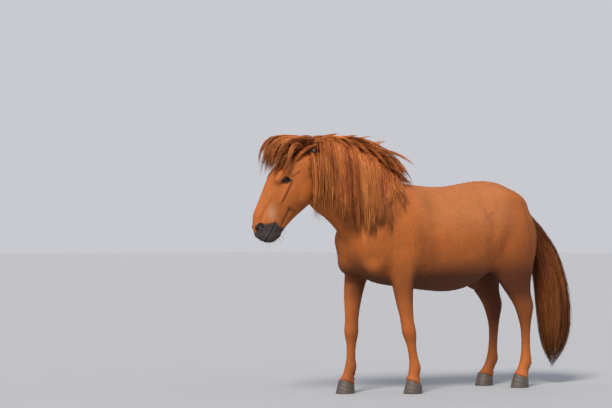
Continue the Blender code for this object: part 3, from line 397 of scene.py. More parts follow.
def flesh_bmesh():
    """The lofts and forms of the whole body."""
    bm = bmesh.new()
    add_loft(bm, neck_rows(), 26)
    add_loft(bm, head_rows(), 46)
    add_head_forms(bm)
    add_loft(bm, torso_rows(), 46)
    for side in (LEFT, RIGHT):
        add_loft(bm, fore_leg_rows(FORE_AXIS[side], side), 60)
        add_loft(bm, hind_leg_rows(HIND_FORWARD[side], side), 60)
    add_muscles(bm)
    return bm


def remeshed(bm, voxel):
    """The closed skin round everything in bm, as points and quads."""
    bmesh.ops.recalc_face_normals(bm, faces=bm.faces)
    mesh = bpy.data.meshes.new("rough")
    bm.to_mesh(mesh)
    bm.free()
    rough = linked("rough", mesh)
    remesh = rough.modifiers.new("remesh", "REMESH")
    remesh.mode = "VOXEL"
    remesh.voxel_size = voxel
    made = bpy.data.meshes.new_from_object(rough.evaluated_get(bpy.context.evaluated_depsgraph_get()))
    bpy.data.objects.remove(rough)
    points = np.empty(len(made.vertices) * 3)
    made.vertices.foreach_get("co", points)
    quads = np.array([p.vertices[:] for p in made.polygons])
    bpy.data.meshes.remove(made)
    return points.reshape(-1, 3), quads


def neighbours(faces):
    """Each edge of the skin, both ways round, and how many meet at each point."""
    sides = faces.shape[1]
    ends = np.concatenate([faces[:, [i, (i + 1) % sides]] for i in range(sides)])
    ends = np.unique(np.concatenate([ends, ends[:, ::-1]]), axis=0)
    return ends, np.bincount(ends[:, 0])[:, None]


def smoothed(points, faces, rounds, share):
    """Evens out the skin. Share is each point's part in it, from 0 to 1."""
    ends, count = neighbours(faces)
    for _ in range(rounds):
        near = points[ends[:, 1]]
        total = np.stack([np.bincount(ends[:, 0], near[:, k], len(points)) for k in range(3)], 1)
        points = points + 0.6 * share[:, None] * (total / count - points)
    return points


def ease(value, start, stop):
    """0 before start, 1 after stop and a smooth step between them."""
    t = np.clip((value - start) / (stop - start), 0, 1)
    return t * t * (3 - 2 * t)


def turned(points):
    """The neck and head bent to the horse's right by TURN, along the neck. The legs stay straight."""
    steps = np.linspace(0, 1.4, 1401)
    angle = TURN * ease(steps, 0, TURN_FROM - TURN_TO)
    width = steps[1] - steps[0]
    line_x = TURN_FROM - np.concatenate([[0], np.cumsum(np.cos(angle[1:]) * width)])
    line_y = np.concatenate([[0], np.cumsum(np.sin(angle[1:]) * width)])
    along = TURN_FROM - points[:, 0]
    bent = points.copy()
    there = along > 0
    a = np.interp(along[there], steps, angle)
    bent[there, 0] = np.interp(along[there], steps, line_x) + points[there, 1] * np.sin(a)
    bent[there, 1] = np.interp(along[there], steps, line_y) + points[there, 1] * np.cos(a)
    return points + ease(points[:, 2], 0.80, 1.05)[:, None] * (bent - points)


def mesh_object(name, points, faces):
    """An object made from points and faces."""
    mesh = bpy.data.meshes.new(name)
    mesh.from_pydata(np.asarray(points).tolist(), [], [list(map(int, face)) for face in faces])
    return linked(name, mesh)


def bmesh_object(name, bm):
    """An object made from a bmesh, with its faces turned outwards."""
    bmesh.ops.recalc_face_normals(bm, faces=bm.faces)
    mesh = bpy.data.meshes.new(name)
    bm.to_mesh(mesh)
    bm.free()
    return linked(name, mesh)


def settled(made):
    """Turns what an object's modifiers make of it into its own mesh."""
    bpy.context.view_layer.update()
    new = bpy.data.meshes.new_from_object(made.evaluated_get(bpy.context.evaluated_depsgraph_get()))
    old = made.data
    made.modifiers.clear()
    made.data = new
    new.name = made.name
    bpy.data.meshes.remove(old)
    return made


def cut_off(made, point, out, grow):
    """Takes away what lies outside a plane through a point, moved out by grow."""
    bm = bmesh.new()
    bmesh.ops.create_cube(bm, size=6.0)
    out = Vector(out).normalized()
    cut = bmesh.ops.bisect_plane(
        bm,
        geom=bm.verts[:] + bm.edges[:] + bm.faces[:],
        plane_co=Vector(point) + out * grow,
        plane_no=out,
        clear_outer=True,
    )
    bmesh.ops.edgeloop_fill(bm, edges=[e for e in cut["geom_cut"] if isinstance(e, bmesh.types.BMEdge)])
    block = bmesh_object("block", bm)
    boolean = made.modifiers.new("boolean", "BOOLEAN")
    boolean.operation = "INTERSECT"
    boolean.solver = "EXACT"
    boolean.object = block
    settled(made)
    bpy.data.objects.remove(block)


def hoof_rows(centre, y):
    """A hoof from its sole up past the coronet, as level slices."""
    table = [
        # z, toe, heel, half widths at toe, middle and heel
        (0.000, -0.100, 0.032, 0.038, 0.058, 0.040),
        (0.035, -0.090, 0.031, 0.037, 0.055, 0.039),
        (0.070, -0.079, 0.029, 0.035, 0.050, 0.037),
        (0.110, -0.067, 0.026, 0.032, 0.045, 0.034),
    ]
    return [(centre + toe, z, centre + heel, z, y, wt, wm, wh, 2.2) for z, toe, heel, wt, wm, wh in table]


def add_ear(bm, side):
    """A cupped ear, laid back, as a curled sheet that closes at its root."""
    root = head_point(0.080, 0.080, side * 0.046)
    tip = head_point(-0.090, 0.004, side * 0.080)
    along = unit(tip - root)
    facing = np.array([0.80, side * 0.58, -0.10])
    facing = unit(facing - along * (facing @ along))
    across = np.cross(along, facing)
    made = []
    for u in np.linspace(0, 1, EAR_RINGS):
        radius = np.interp(u, [0, 0.2, 0.45, 0.7, 0.9, 1], [0.021, 0.027, 0.028, 0.022, 0.011, 0.003])
        opening = math.radians(np.interp(u, [0, 0.15, 0.4, 0.8, 1], [14, 30, 62, 72, 80]))
        wall = min(0.005, radius * 0.45)
        reach = (u * 1.06 - 0.06) * EAR_LENGTH
        centre = root + along * reach - facing * 0.010 * math.sin(math.pi * u)
        angle = np.linspace(opening, 2 * math.pi - opening, EAR_ARC)
        ring = [
            centre + facing * r * math.cos(a) * 0.85 + across * r * math.sin(a)
            for r, angles in ((radius, angle), (radius - wall, angle[::-1]))
            for a in angles
        ]
        made.append(turned(np.array(ring)))
    add_rings(bm, made)


def nearest(tree, at):
    """The place on the body nearest to at, the outward direction there, and how far off it is."""
    near, out, _, far = tree.find_nearest(Vector(at))
    return np.array(near), np.array(out), far


def lifted(tree, at, lift):
    """The place nearest to at that is lift or more outside the body."""
    near, out, _ = nearest(tree, at)
    height = (at - near) @ out
    return near + out * lift if height < lift else at


def faces_along(tree, line, lean):
    """The direction away from the body at each place on a line, leaning up by lean."""
    made = []
    for at in line:
        near, out, _ = nearest(tree, at)
        away = np.array(at) - near
        away = away if np.linalg.norm(away) > 0.02 else out
        made.append(unit(away) - lean * DOWN)
    return made


def crest_points(tree, count):
    """Places along the crest of the neck from the poll to the withers."""
    made = []
    for x in np.linspace(-0.965, -0.350, count):
        middle = turned(np.array([[x, 0.0, 1.5]]))[0]
        hit = tree.ray_cast(Vector((middle[0], middle[1], 2.0)), Vector((0, 0, -1)))[0]
        made.append(np.array(hit))
    return np.array(made)


def mane_lengths(share):
    """How high the mane stands and how far it hangs on the left, from the poll at 0 to the withers at 1."""
    puff = np.interp(share, [0, 0.35, 0.6, 0.85, 1], [0.105, 0.125, 0.135, 0.095, 0.030])
    near = np.interp(share, [0, 0.2, 0.6, 0.85, 1], [0.42, 0.50, 0.47, 0.36, 0.22])
    return puff, near


def tail_rows():
    """The tail from its root to its end, as slices from front to back."""
    return [
        (0.630, 1.120, 0.685, 1.190, 0, 0.030, 0.040, 0.030, 2.1),
        (0.700, 1.075, 0.765, 1.150, -0.002, 0.030, 0.045, 0.030, 2.1),
        (0.722, 1.000, 0.850, 1.060, -0.008, 0.040, 0.060, 0.035, 2.1),
        (0.742, 0.890, 0.942, 0.950, -0.018, 0.050, 0.072, 0.040, 2.1),
        (0.762, 0.755, 1.010, 0.790, -0.028, 0.050, 0.080, 0.040, 2.1),
        (0.782, 0.600, 1.052, 0.612, -0.038, 0.050, 0.080, 0.038, 2.1),
        (0.798, 0.440, 1.062, 0.440, -0.043, 0.045, 0.072, 0.034, 2.1),
        (0.820, 0.300, 1.042, 0.290, -0.045, 0.035, 0.056, 0.028, 2.1),
        (0.855, 0.200, 0.985, 0.190, -0.045, 0.020, 0.032, 0.018, 2.1),
        (0.900, 0.145, 0.935, 0.140, -0.045, 0.008, 0.010, 0.008, 2.0),
    ]




def point_normals(points, faces):
    """The outward direction at each point of a mesh of triangles or quads."""
    corner = points[faces]
    across = np.cross(corner[:, 2] - corner[:, 0], corner[:, -1] - corner[:, 1])
    total = np.zeros_like(points)
    for i in range(faces.shape[1]):
        for k in range(3):
            total[:, k] += np.bincount(faces[:, i], across[:, k], len(points))
    return total / np.maximum(np.linalg.norm(total, axis=1), 1e-12)[:, None]


def mesh_arrays(mesh):
    """The points and triangles of a mesh."""
    mesh.calc_loop_triangles()
    points = np.empty(len(mesh.vertices) * 3)
    mesh.vertices.foreach_get("co", points)
    triangles = np.empty(len(mesh.loop_triangles) * 3, np.int64)
    mesh.loop_triangles.foreach_get("vertices", triangles)
    return points.reshape(-1, 3), triangles.reshape(-1, 3)


def array_object(name, points, triangles):
    """A mesh object made from arrays of points and triangles."""
    mesh = bpy.data.meshes.new(name)
    mesh.vertices.add(len(points))
    mesh.vertices.foreach_set("co", np.asarray(points, np.float32).ravel())
    mesh.loops.add(triangles.size)
    mesh.loops.foreach_set("vertex_index", triangles.astype(np.int32).ravel())
    mesh.polygons.add(len(triangles))
    mesh.polygons.foreach_set("loop_start", np.arange(0, triangles.size, 3, dtype=np.int32))
    mesh.polygons.foreach_set("use_smooth", np.full(len(triangles), True))
    mesh.update(calc_edges=True)
    return linked(name, mesh)


def add_colours(made, name, values):
    """Gives each point four values under a name, for the materials to read."""
    layer = made.data.attributes.new(name, "FLOAT_COLOR", "POINT")
    layer.data.foreach_set("color", np.asarray(values, np.float32).ravel())


def add_places(made, places):
    """Gives each point its place on the map that the coat is baked by."""
    loops = np.empty(len(made.data.loops), np.int32)
    made.data.loops.foreach_get("vertex_index", loops)
    layer = made.data.uv_layers.new(name="OFBake")
    layer.data.foreach_set("uv", np.asarray(places, np.float32)[loops].ravel())


def finer(points, triangles, wanted):
    """Splits every edge between two wanted points once."""
    made = array_object("finer", points, triangles)
    bm = bmesh.new()
    bm.from_mesh(made.data)
    bm.verts.ensure_lookup_table()
    edges = [e for e in bm.edges if wanted[e.verts[0].index] and wanted[e.verts[1].index]]
    bmesh.ops.subdivide_edges(bm, edges=edges, cuts=1, use_grid_fill=True)
    bmesh.ops.triangulate(bm, faces=bm.faces)
    bm.to_mesh(made.data)
    bm.free()
    arrays = mesh_arrays(made.data)
    mesh = made.data
    bpy.data.objects.remove(made)
    bpy.data.meshes.remove(mesh)
    return arrays


def face_places(points):
    """How far down, forward and aside each point is on the head."""
    return (points - POLL) @ HEAD_ALONG, (points - POLL) @ HEAD_UP, np.abs(points[:, 1])


def eye_centre(side):
    """The middle of an eyeball, before the neck is turned."""
    return head_point(EYE[0], EYE[1], side * EYE[2])


def eye_distance(points):
    """How far each point is from the nearer eye's middle."""
    return np.minimum(*(np.linalg.norm(points - eye_centre(side), axis=1) for side in (LEFT, RIGHT)))


def near_eye(points, reach):
    """Which points are within reach of an eye's middle."""
    return eye_distance(points) < reach


def on_head(points):
    """Which points are on the head."""
    return (points[:, 0] < -0.88) & (points[:, 2] > 0.80)


def finely_meshed(points, reach, muzzle):
    """Which points are on the muzzle or round the eyes, where the mesh is finer."""
    return on_head(points) & ((face_places(points)[0] > muzzle) | near_eye(points, reach))


def body_shape():
    """The whole skin, as points before and after the neck is turned, triangles and outward directions."""
    if "points" in MADE:
        return MADE
    points, quads = remeshed(flesh_bmesh(), SKIN_VOXEL)
    low_leg = 1 - 0.86 * ease(0.80 - points[:, 2], 0.0, 0.25)
    from_poll = (points - POLL) @ HEAD_ALONG
    fine = 0.60 * ease(from_poll, 0.02, 0.14) + 0.20 * ease(from_poll, 0.34, 0.44)
    face = (1 - 0.70 * ease(-points[:, 0], 0.84, 0.92)) * (1 - fine * ease(-points[:, 0], 0.88, 0.95))
    share = np.where(points[:, 2] > 0.80, face, 1.0)
    rounds = int(round((SMOOTH_REACH / SKIN_VOXEL) ** 2))
    points = smoothed(points, quads, rounds, np.minimum(low_leg, share))
    rough = mesh_object("rough", points, quads)
    group = rough.vertex_groups.new(name="trunk")
    kept = on_head(points) & (from_poll > -0.02)
    group.add(np.flatnonzero(~kept).tolist(), 1.0, "REPLACE")
    decimate = rough.modifiers.new("decimate", "DECIMATE")
    decimate.ratio = TRUNK_SHARE
    decimate.vertex_group = "trunk"
    settled(rough)
    points, triangles = mesh_arrays(rough.data)
    bpy.data.objects.remove(rough)
    for reach, muzzle in ((0.060, 0.44), (0.048, 0.50)):
        points, triangles = finer(points, triangles, finely_meshed(points, reach, muzzle))
        points = smoothed(points, triangles, 3, 0.7 * finely_meshed(points, reach, muzzle))
    points = face_details(points, triangles)
    points = points + body_forms(points)[:, None] * point_normals(points, triangles)
    out = point_normals(points, triangles)
    s, _, _ = face_places(points)
    head = ease(-points[:, 0], 0.84, 0.92) * ease(points[:, 2], 0.78, 0.85)
    leg = ease(0.70 - points[:, 2], 0.0, 0.2)
    depth = panel_settings().coat_depth * (1 - 0.45 * head) * (1 - 0.4 * leg)
    depth *= 1 - 0.9 * head * np.maximum(ease(s, 0.42, 0.50), 1 - ease(eye_distance(points), 0.030, 0.060))
    points = points - depth[:, None] * out
    points = coronets(points)
    MADE.update(points=points, triangles=triangles, out=point_normals(points, triangles))
    MADE["marks"] = coat_marks_and_painted_light(points)
    MADE["turned"] = turned(points)
    MADE["turned_out"] = point_normals(MADE["turned"], triangles)
    MADE["tree"] = BVHTree.FromPolygons(MADE["turned"].tolist(), triangles.tolist())
    return MADE


def along_line(first, second, start, stop, width):
    """1 on a line between two places of a plane, fading across it by width."""
    start, stop = np.array(start), np.array(stop)
    along = stop - start
    length = np.linalg.norm(along)
    along = along / length
    a, b = first - start[0], second - start[1]
    down = a * along[0] + b * along[1]
    off = a * along[1] - b * along[0]
    beyond = np.maximum(0, np.maximum(-down, down - length))
    return np.exp(-((off / width) ** 2) - (beyond / (1.6 * width)) ** 2)


# Creases and ridges: how far they stand out, where they start and stop, and their width.
FACE_FORMS = [
    (0.0035, (0.215, 0.062), (0.345, 0.052), 0.010),
    (-0.0040, (0.205, 0.045), (0.336, 0.034), 0.006),
    (-0.0045, (0.350, -0.027), (0.455, -0.038), 0.008),
    (-0.0030, (0.346, -0.072), (0.352, -0.030), 0.009),
    (-0.0030, (0.175, 0.060), (0.125, 0.037), 0.006),
    (0.0030, (0.390, -0.056), (0.460, -0.060), 0.010),
    (0.0030, (0.190, 0.140), (0.245, 0.142), 0.010),
    (-0.0030, (0.130, 0.075), (0.165, 0.100), 0.020),
    (-0.0040, (0.430, 0.110), (0.505, 0.098), 0.014),
    (0.0025, (0.330, 0.120), (0.470, 0.118), 0.010),
]
SHOULDER_FORMS = [
    (-0.010, (-0.330, 1.080), (-0.290, 0.760), 0.030),
    (0.006, (-0.420, 1.050), (-0.380, 0.820), 0.045),
    (0.006, (-0.480, 1.300), (-0.600, 1.020), 0.028),
    (-0.006, (-0.560, 1.280), (-0.665, 1.060), 0.026),
]
FLANK_FORMS = [
    (-0.012, (0.230, 1.190), (0.270, 1.050), 0.040),
    (0.006, (0.285, 1.000), (0.330, 0.830), 0.030),
    (-0.006, (0.225, 0.960), (0.260, 0.800), 0.026),
    (-0.005, (0.560, 1.180), (0.600, 0.880), 0.020),
]
RIB_FEET = [-0.160 + 0.062 * k for k in range(6)]
RIB_FORMS = [(0.0012, (foot, 1.080), (foot + 0.06, 0.800), 0.014) for foot in RIB_FEET]


def body_forms(points):
    """How far each point stands out for the creases and bones that the smooth forms leave out."""
    s, t, y = face_places(points)
    x, z = points[:, 0], points[:, 2]
    head = on_head(points) * (y > 0.015)
    trunk = ~on_head(points) * (y > 0.05)
    shoulder = np.where(points[:, 1] < 0, FORE_AXIS[LEFT][4][1], FORE_AXIS[RIGHT][4][1]) + 0.46
    push = np.zeros(len(points))
    for places, where, forms in [
        ((s, t), head, FACE_FORMS),
        ((x - 0.6 * shoulder, z), trunk, SHOULDER_FORMS),
        ((x, z), trunk, FLANK_FORMS + RIB_FORMS),
    ]:
        for height, start, stop, width in forms:
            push += where * height * along_line(*places, start, stop, width)
    return push


def face_details(points, triangles):
    """Presses the mouth and nostrils into the head and shapes the lids round each eye."""
    out = point_normals(points, triangles)
    s, t, y = face_places(points)
    head = on_head(points)
    line_s, line_t = np.array(MOUTH).T
    from_mouth = t - np.interp(s, line_s, line_t)
    before_corner = np.maximum(0, line_s[0] - s)
    push = -0.006 * np.exp(-((from_mouth / 0.0036) ** 2) - (before_corner / 0.006) ** 2)
    for step, height, spread in [(0.011, 0.0022, 0.008), (-0.012, 0.0014, 0.010)]:
        push += height * np.exp(-(((from_mouth - step) / spread) ** 2) - (before_corner / 0.02) ** 2)
    ring = nostril_ring(s, t)
    outer = ease(y, 0.010, 0.017)
    push -= outer * 0.010 * np.exp(-(ring**4))
    upper = ease(t, 0.060, 0.080) * (1 - ease(t, 0.086, 0.100))
    push += outer * 0.0026 * np.exp(-(((ring - 2.1) / 0.7) ** 2)) * upper
    points = points + (head * push)[:, None] * out
    return lids_shaped(points, head)


def nostril_ring(s, t):
    """How far each place is from the bent opening of the nostril, which is 1 at its edge."""
    away = np.full(len(s), 9.0)
    for (s0, t0), (s1, t1) in zip(NOSTRIL_LINE, NOSTRIL_LINE[1:]):
        along = np.array([s1 - s0, t1 - t0])
        share = np.clip(((s - s0) * along[0] + (t - t0) * along[1]) / (along @ along), 0, 1)
        away = np.minimum(away, np.hypot(s - s0 - share * along[0], t - t0 - share * along[1]))
    return away / NOSTRIL_REACH


def lids_shaped(points, head):
    """Draws the skin over each eyeball, with an almond opening between the lids."""
    points = points.copy()
    for side in (LEFT, RIGHT):
        away = points - eye_centre(side)
        s, t, y = away @ HEAD_ALONG, away @ HEAD_UP, side * away[:, 1]
        long, high = eye_axes(s, t)
        reach = np.linalg.norm(away, axis=1)
        flat = np.hypot(long, high)
        opening = np.sqrt((long / ALMOND[0]) ** 2 + (high / ALMOND[1]) ** 2)
        lid = EYE_RADIUS + 0.0034 + 0.0018 * np.exp(-(((opening - 1.30) / 0.28) ** 2))
        lid = lid + 0.0022 * np.exp(-(((opening - 1.9) / 0.45) ** 2)) * (high > 0)
        lid = np.where(opening < 1, EYE_RADIUS - 0.004, lid)
        near = head & (y > 0) & (flat < 0.056)
        share = (1 - ease(flat, 0.013, 0.056)) * ease(y, 0.0, 0.014)
        radius = np.where(near, reach + share * (lid - reach), reach)
        fold = -0.0022 * np.exp(-(((opening - 2.45) / 0.28) ** 2)) * near * ease(high, 0.0, 0.008)
        fold = fold - 0.0012 * np.exp(-(((opening - 2.3) / 0.30) ** 2)) * near * ease(-high, 0.0, 0.008)
        points = points + away / reach[:, None] * (radius + fold - reach)[:, None]
    return points


def eye_axes(s, t):
    """Places along and across the almond of the eye, for places down and forward of its middle."""
    long, high = EYE_TILT[0] * s + EYE_TILT[1] * t, EYE_TILT[0] * t - EYE_TILT[1] * s
    return long, high + EYE_BEND * long**2 - EYE_RISE


def over_eyeball(side, long, high, above):
    """A place above the eyeball, for places along and across the almond of the eye."""
    high = high - EYE_BEND * long**2 + EYE_RISE
    s, t = EYE_TILT[0] * long - EYE_TILT[1] * high, EYE_TILT[1] * long + EYE_TILT[0] * high
    out = math.sqrt(max((EYE_RADIUS + above) ** 2 - s * s - t * t, 1e-8))
    return eye_centre(side) + s * HEAD_ALONG + t * HEAD_UP + np.array([0, side * out, 0])


def coronets(points):
    """Draws the skin in below the top of each hoof, so that the hoof stands round it."""
    points = points.copy()
    for x, y in SOLE_CENTRES:
        near = (np.hypot(points[:, 0] - x, points[:, 1] - y) < 0.16) & (points[:, 2] < 0.16)
        under = (points - (x - CORONET_BACK, y, CORONET_HIGH)) @ -np.array(CORONET_SLOPE) / 0.1129
        share = near * ease(under, -0.014, 0.004)
        middle = np.array([x - 0.025, y])
        points[:, :2] += 0.22 * share[:, None] * (middle - points[:, :2])
        points[:, 2] += share * 0.010 * ease(0.08 - points[:, 2], 0.0, 0.06)
    return points


# Painted shade along the creases of the face: how dark it is, where each line starts and stops, and its width.
FACE_SHADE_LINES = [
    (0.60, (0.215, 0.044), (0.336, 0.034), 0.006),
    (0.55, (0.165, 0.055), (0.125, 0.037), 0.008),
    (0.60, (0.354, -0.029), (0.446, -0.037), 0.010),
    (0.35, (0.348, -0.060), (0.354, -0.034), 0.014),
]


def coat_marks_and_painted_light(points):
    """The coat's marks at each point: the dark muzzle; the pale patch, with painted light on the top of the trunk;
    hairless dark skin, with painted shade round the eyes, along the mouth and in the nostrils; and painted shade low
    on the trunk, between the legs, in the creases of the face, behind the shoulder and over the thighs.
    """
    s, t, y = face_places(points)
    x, z = points[:, 0], points[:, 2]
    head = on_head(points)
    wave = 0.006 * np.sin(60 * t) + 0.004 * np.sin(90 * points[:, 1])
    edge = np.interp(t, [-0.05, 0.01, 0.04, 0.07, 0.10, 0.12], [0.458, 0.466, 0.488, 0.500, 0.512, 0.545])
    edge = edge + 0.055 * (1 - ease(y, 0.012, 0.028)) * ease(t, 0.060, 0.090)
    muzzle = head * ease(s + wave - edge, -0.010, 0.024)

    down, across = 0.906 * (s - 0.430) - 0.424 * (t - 0.062), 0.424 * (s - 0.430) + 0.906 * (t - 0.062)
    pale = head * np.exp(-((down / 0.044) ** 2) - (across / 0.028) ** 2) * (y > 0.01)

    # Hairless dark skin, with painted shade: a wide dark patch round each eye that takes in the shade of the lids and
    # lashes, a dark line along the mouth and dark nostrils.
    bare_skin_and_shade = np.zeros(len(points))
    for side in (LEFT, RIGHT):
        away = points - eye_centre(side)
        long, high = eye_axes(away @ HEAD_ALONG, away @ HEAD_UP)
        opening = np.sqrt((long / ALMOND[0]) ** 2 + (high / ALMOND[1]) ** 2)
        close = np.linalg.norm(away, axis=1) < 0.045
        bare_skin_and_shade = np.maximum(bare_skin_and_shade, close * (side * points[:, 1] > 0) * (1 - ease(opening, 1.30, 2.4)))
    line_s, line_t = np.array(MOUTH).T
    from_mouth = np.abs(t - np.interp(s, line_s, line_t))
    bare_skin_and_shade = np.maximum(bare_skin_and_shade, head * (1 - ease(from_mouth, 0.001, 0.006)) * ease(s, 0.462, 0.472))
    bare_skin_and_shade = np.maximum(bare_skin_and_shade, head * ease(y, 0.014, 0.022) * (1 - ease(nostril_ring(s, t), 0.75, 1.35)))

    # Painted shade: darker low on the trunk, between the legs, along the creases of the face, under the belly, in a
    # band behind the shoulder and over the thighs.
    low = ease(0.86 - z, 0.0, 0.18) * ease(z, 0.55, 0.66)
    inner = ease(0.14 - y, 0.0, 0.08) * ease(0.95 - z, 0.0, 0.15) * ~head
    cheek = sum(dark * along_line(s, t, start, stop, width) for dark, start, stop, width in FACE_SHADE_LINES)
    # The painted shade in the creases is weaker on the far side of the face.
    cheek *= np.where(points[:, 1] < 0, 1.0, 0.4)
    belly = 0.82 * ease(0.88 - z, 0, 0.20) * ease(x + 0.36, 0, 0.08) * ease(0.50 - x, 0, 0.1) * ease(z, 0.52, 0.60)
    behind = 0.26 * along_line(x, z, (-0.200, 1.200), (-0.245, 1.000), 0.050)
    behind = np.maximum(behind, 0.42 * along_line(x, z, (-0.245, 0.960), (-0.195, 0.740), 0.062))
    thigh = ease(x, 0.31, 0.38) * ease(1.25 - z, 0, 0.2)
    thigh = thigh * (0.22 + 0.40 * ease(1.02 - z, 0, 0.30)) * ease(z, 0.10, 0.50)
    trunk = np.maximum.reduce([belly, behind, thigh]) * ~head
    shade = np.clip(0.40 * low + 0.6 * inner + head * cheek + trunk, 0, 0.92)

    # Painted light on the top of the trunk, kept in the pale mark beside the pale patch.
    lit = ease(z, 0.94, 1.16) * ease(x + 0.34, 0, 0.14) * ease(0.52 - x, 0, 0.16)
    pale = np.maximum(pale, 0.26 * lit * (1 - np.minimum(1, 2 * behind)))
    return np.stack([muzzle, pale, bare_skin_and_shade, shade], axis=1)


def unwrap(points, out):
    """A map of the skin in six views of its own sides, each in its own part of the square."""
    x = np.clip((points[:, 0] + 1.45) / 2.35, 0, 1)
    y = np.clip((points[:, 1] + 0.45) / 0.9, 0, 1)
    z = np.clip(points[:, 2] / 1.70, 0, 1)
    side = np.abs(out[:, 1]) > 0.5
    level = np.abs(out[:, 2]) > np.abs(out[:, 0])
    place = np.empty((len(points), 2))
    left = out[:, 1] < 0
    high = out[:, 2] > 0
    front = out[:, 0] < 0
    for pick, u, v in [
        (side & left, 0.01 + 0.56 * x, 0.01 + 0.40 * z),
        (side & ~left, 0.01 + 0.56 * x, 0.43 + 0.40 * z),
        (~side & level & high, 0.01 + 0.56 * x, 0.85 + 0.13 * y),
        (~side & level & ~high, 0.60 + 0.38 * x, 0.86 + 0.12 * y),
        (~side & ~level & front, 0.60 + 0.38 * y, 0.01 + 0.40 * z),
        (~side & ~level & ~front, 0.60 + 0.38 * y, 0.43 + 0.40 * z),
    ]:
        place[pick] = np.stack([u, v], axis=1)[pick]
    return place


def lie_of_coat(points, out):
    """The way the hair lies at each point, flat on the skin."""
    s, t, _ = face_places(points)
    x, z = points[:, 0], points[:, 2]
    head = (ease(-x, 0.86, 0.96) * ease(z, 0.80, 0.90))[:, None]
    neck = (ease(-x, 0.50, 0.66) * ease(z, 0.92, 1.05))[:, None] * (1 - head)
    breast = (ease(-x, 0.50, 0.62))[:, None] * (1 - neck) * (1 - head)
    leg = ease(0.86 - z, 0.0, 0.20)[:, None] * (1 - neck) * (1 - head)
    belly = (ease(0.30 - np.abs(x + 0.02), 0.0, 0.15) * ease(z, 0.56, 0.60))[:, None]
    leg = leg * (1 - belly)
    thigh = (ease(x, 0.30, 0.52))[:, None] * (1 - leg)
    trunk = np.clip(1 - head - neck - breast - leg - thigh, 0, 1)
    down = 0.25 + 0.55 * ease(np.abs(points[:, 1]), 0.05, 0.22)
    cheek = ease(0.13 - t, 0.0, 0.10) * ease(0.36 - s, 0.0, 0.20)
    lie = trunk * np.stack([np.ones_like(x), 0 * x, -down], axis=1)
    lie += thigh * np.array([0.55, 0, -0.80]) + leg * np.array([0.12, 0, -1.0])
    lie += breast * np.array([0.25, 0, -1.0])
    lie += neck * np.array([0.62, 0, -0.70])
    lie += head * (HEAD_ALONG + cheek[:, None] * np.array([0.9, 0, 0.35]))
    swirl = 0.05 * np.sin(9 * x + 7 * z) + 0.03 * np.sin(13 * points[:, 1] - 11 * z)
    lie += swirl[:, None] * np.cross(out, lie)
    lie -= out * (lie * out).sum(1)[:, None]
    return lie / np.maximum(np.linalg.norm(lie, axis=1), 1e-9)[:, None]


def make_tufts(name, density, count, seed):
    """Short flat tufts on the skin, lying along the body, as one mesh."""
    body = body_shape()
    settings = panel_settings()
    points, triangles, out = body["points"], body["triangles"], body["out"]
    rng = np.random.default_rng(seed)
    corner = points[triangles]
    area = np.linalg.norm(np.cross(corner[:, 1] - corner[:, 0], corner[:, 2] - corner[:, 0]), axis=1)
    chance = area * density(corner.mean(axis=1), body["marks"][triangles].mean(axis=1))
    pick = rng.choice(len(triangles), count, p=chance / chance.sum())
    a, b = rng.random(count), rng.random(count)
    a, b = np.where(a + b > 1, 1 - a, a), np.where(a + b > 1, 1 - b, b)
    share = np.stack([1 - a - b, a, b], axis=1)[:, :, None]
    root = (points[triangles[pick]] * share).sum(1)
    up = units((out[triangles[pick]] * share).sum(1))
    marks = (body["marks"][triangles[pick]] * share).sum(1)
    lie = lie_of_coat(root, up)
    turn = rng.normal(0, 0.10, count)[:, None]
    lie = lie * np.cos(turn) + np.cross(up, lie) * np.sin(turn)

    # Short and narrow on the head, long and loose behind the fetlocks.
    s, _, _ = face_places(root)
    head = ease(-root[:, 0], 0.86, 0.96) * ease(root[:, 2], 0.80, 0.90)
    leg = ease(0.75 - root[:, 2], 0.0, 0.25)
    small = (1 - 0.55 * head - 0.25 * head * ease(s, 0.35, 0.5)) * (1 - 0.35 * leg)
    long = settings.tuft_length * small * rng.uniform(0.7, 1.25, count)
    wide = settings.tuft_width * (0.4 + 0.6 * small) * rng.uniform(0.7, 1.2, count)
    lift = 0.0010 * small * rng.uniform(0.3, 1.5, count)
    stray = rng.random(count) < 0.04
    lift = np.where(stray, lift * 3.0, lift)
    feather = ease(0.24 - root[:, 2], 0.0, 0.08) * ease(up[:, 0], 0.1, 0.6)
    long, wide, lift = long * (1 + 1.8 * feather), wide * (1 - 0.35 * feather), lift * (1 + 2.5 * feather)

    start = turned(root)
    ahead = units(turned(root + 0.002 * lie) - start)
    above = units(turned(root + 0.002 * up) - start)
    side = np.cross(above, ahead)
    tip = start + ahead * long[:, None]
    tip = np.array([body["tree"].find_nearest(Vector(at))[0] for at in tip]) + above * lift[:, None]
    sunk = above * (0.0005 * small)[:, None]
    ring = np.empty((count, TUFT_POINTS, 3))
    ring[:, 0] = start - side * wide[:, None] / 2 - sunk
    ring[:, 1] = start + side * wide[:, None] / 2 - sunk
    ring[:, 2] = 0.62 * start + 0.38 * tip + above * (0.00025 * small + 0.4 * lift)[:, None]
    ring[:, 3] = tip
    made = tuft_object(name, ring, [[0, 3, 2], [2, 3, 1], [0, 2, 1], [0, 1, 3]])
    add_places(made, np.clip((unwrap(root, up)[:, None] + TUFT_MAP).reshape(-1, 2), 0, 1))
    # The tufts carry the skin's marks, with its painted shade and painted light.
    add_colours(made, "marks", np.repeat(marks, TUFT_POINTS, axis=0))
    leant = np.repeat(side * rng.normal(0, 1, count)[:, None], TUFT_POINTS, axis=0)
    shading = units(np.repeat(above, TUFT_POINTS, axis=0) + 0.12 * leant)
    made.data.normals_split_custom_set_from_vertices(shading.tolist())
    add_tuft_tones(made, np.clip(rng.normal(0.5, 0.2, count), 0, 1))
    return made


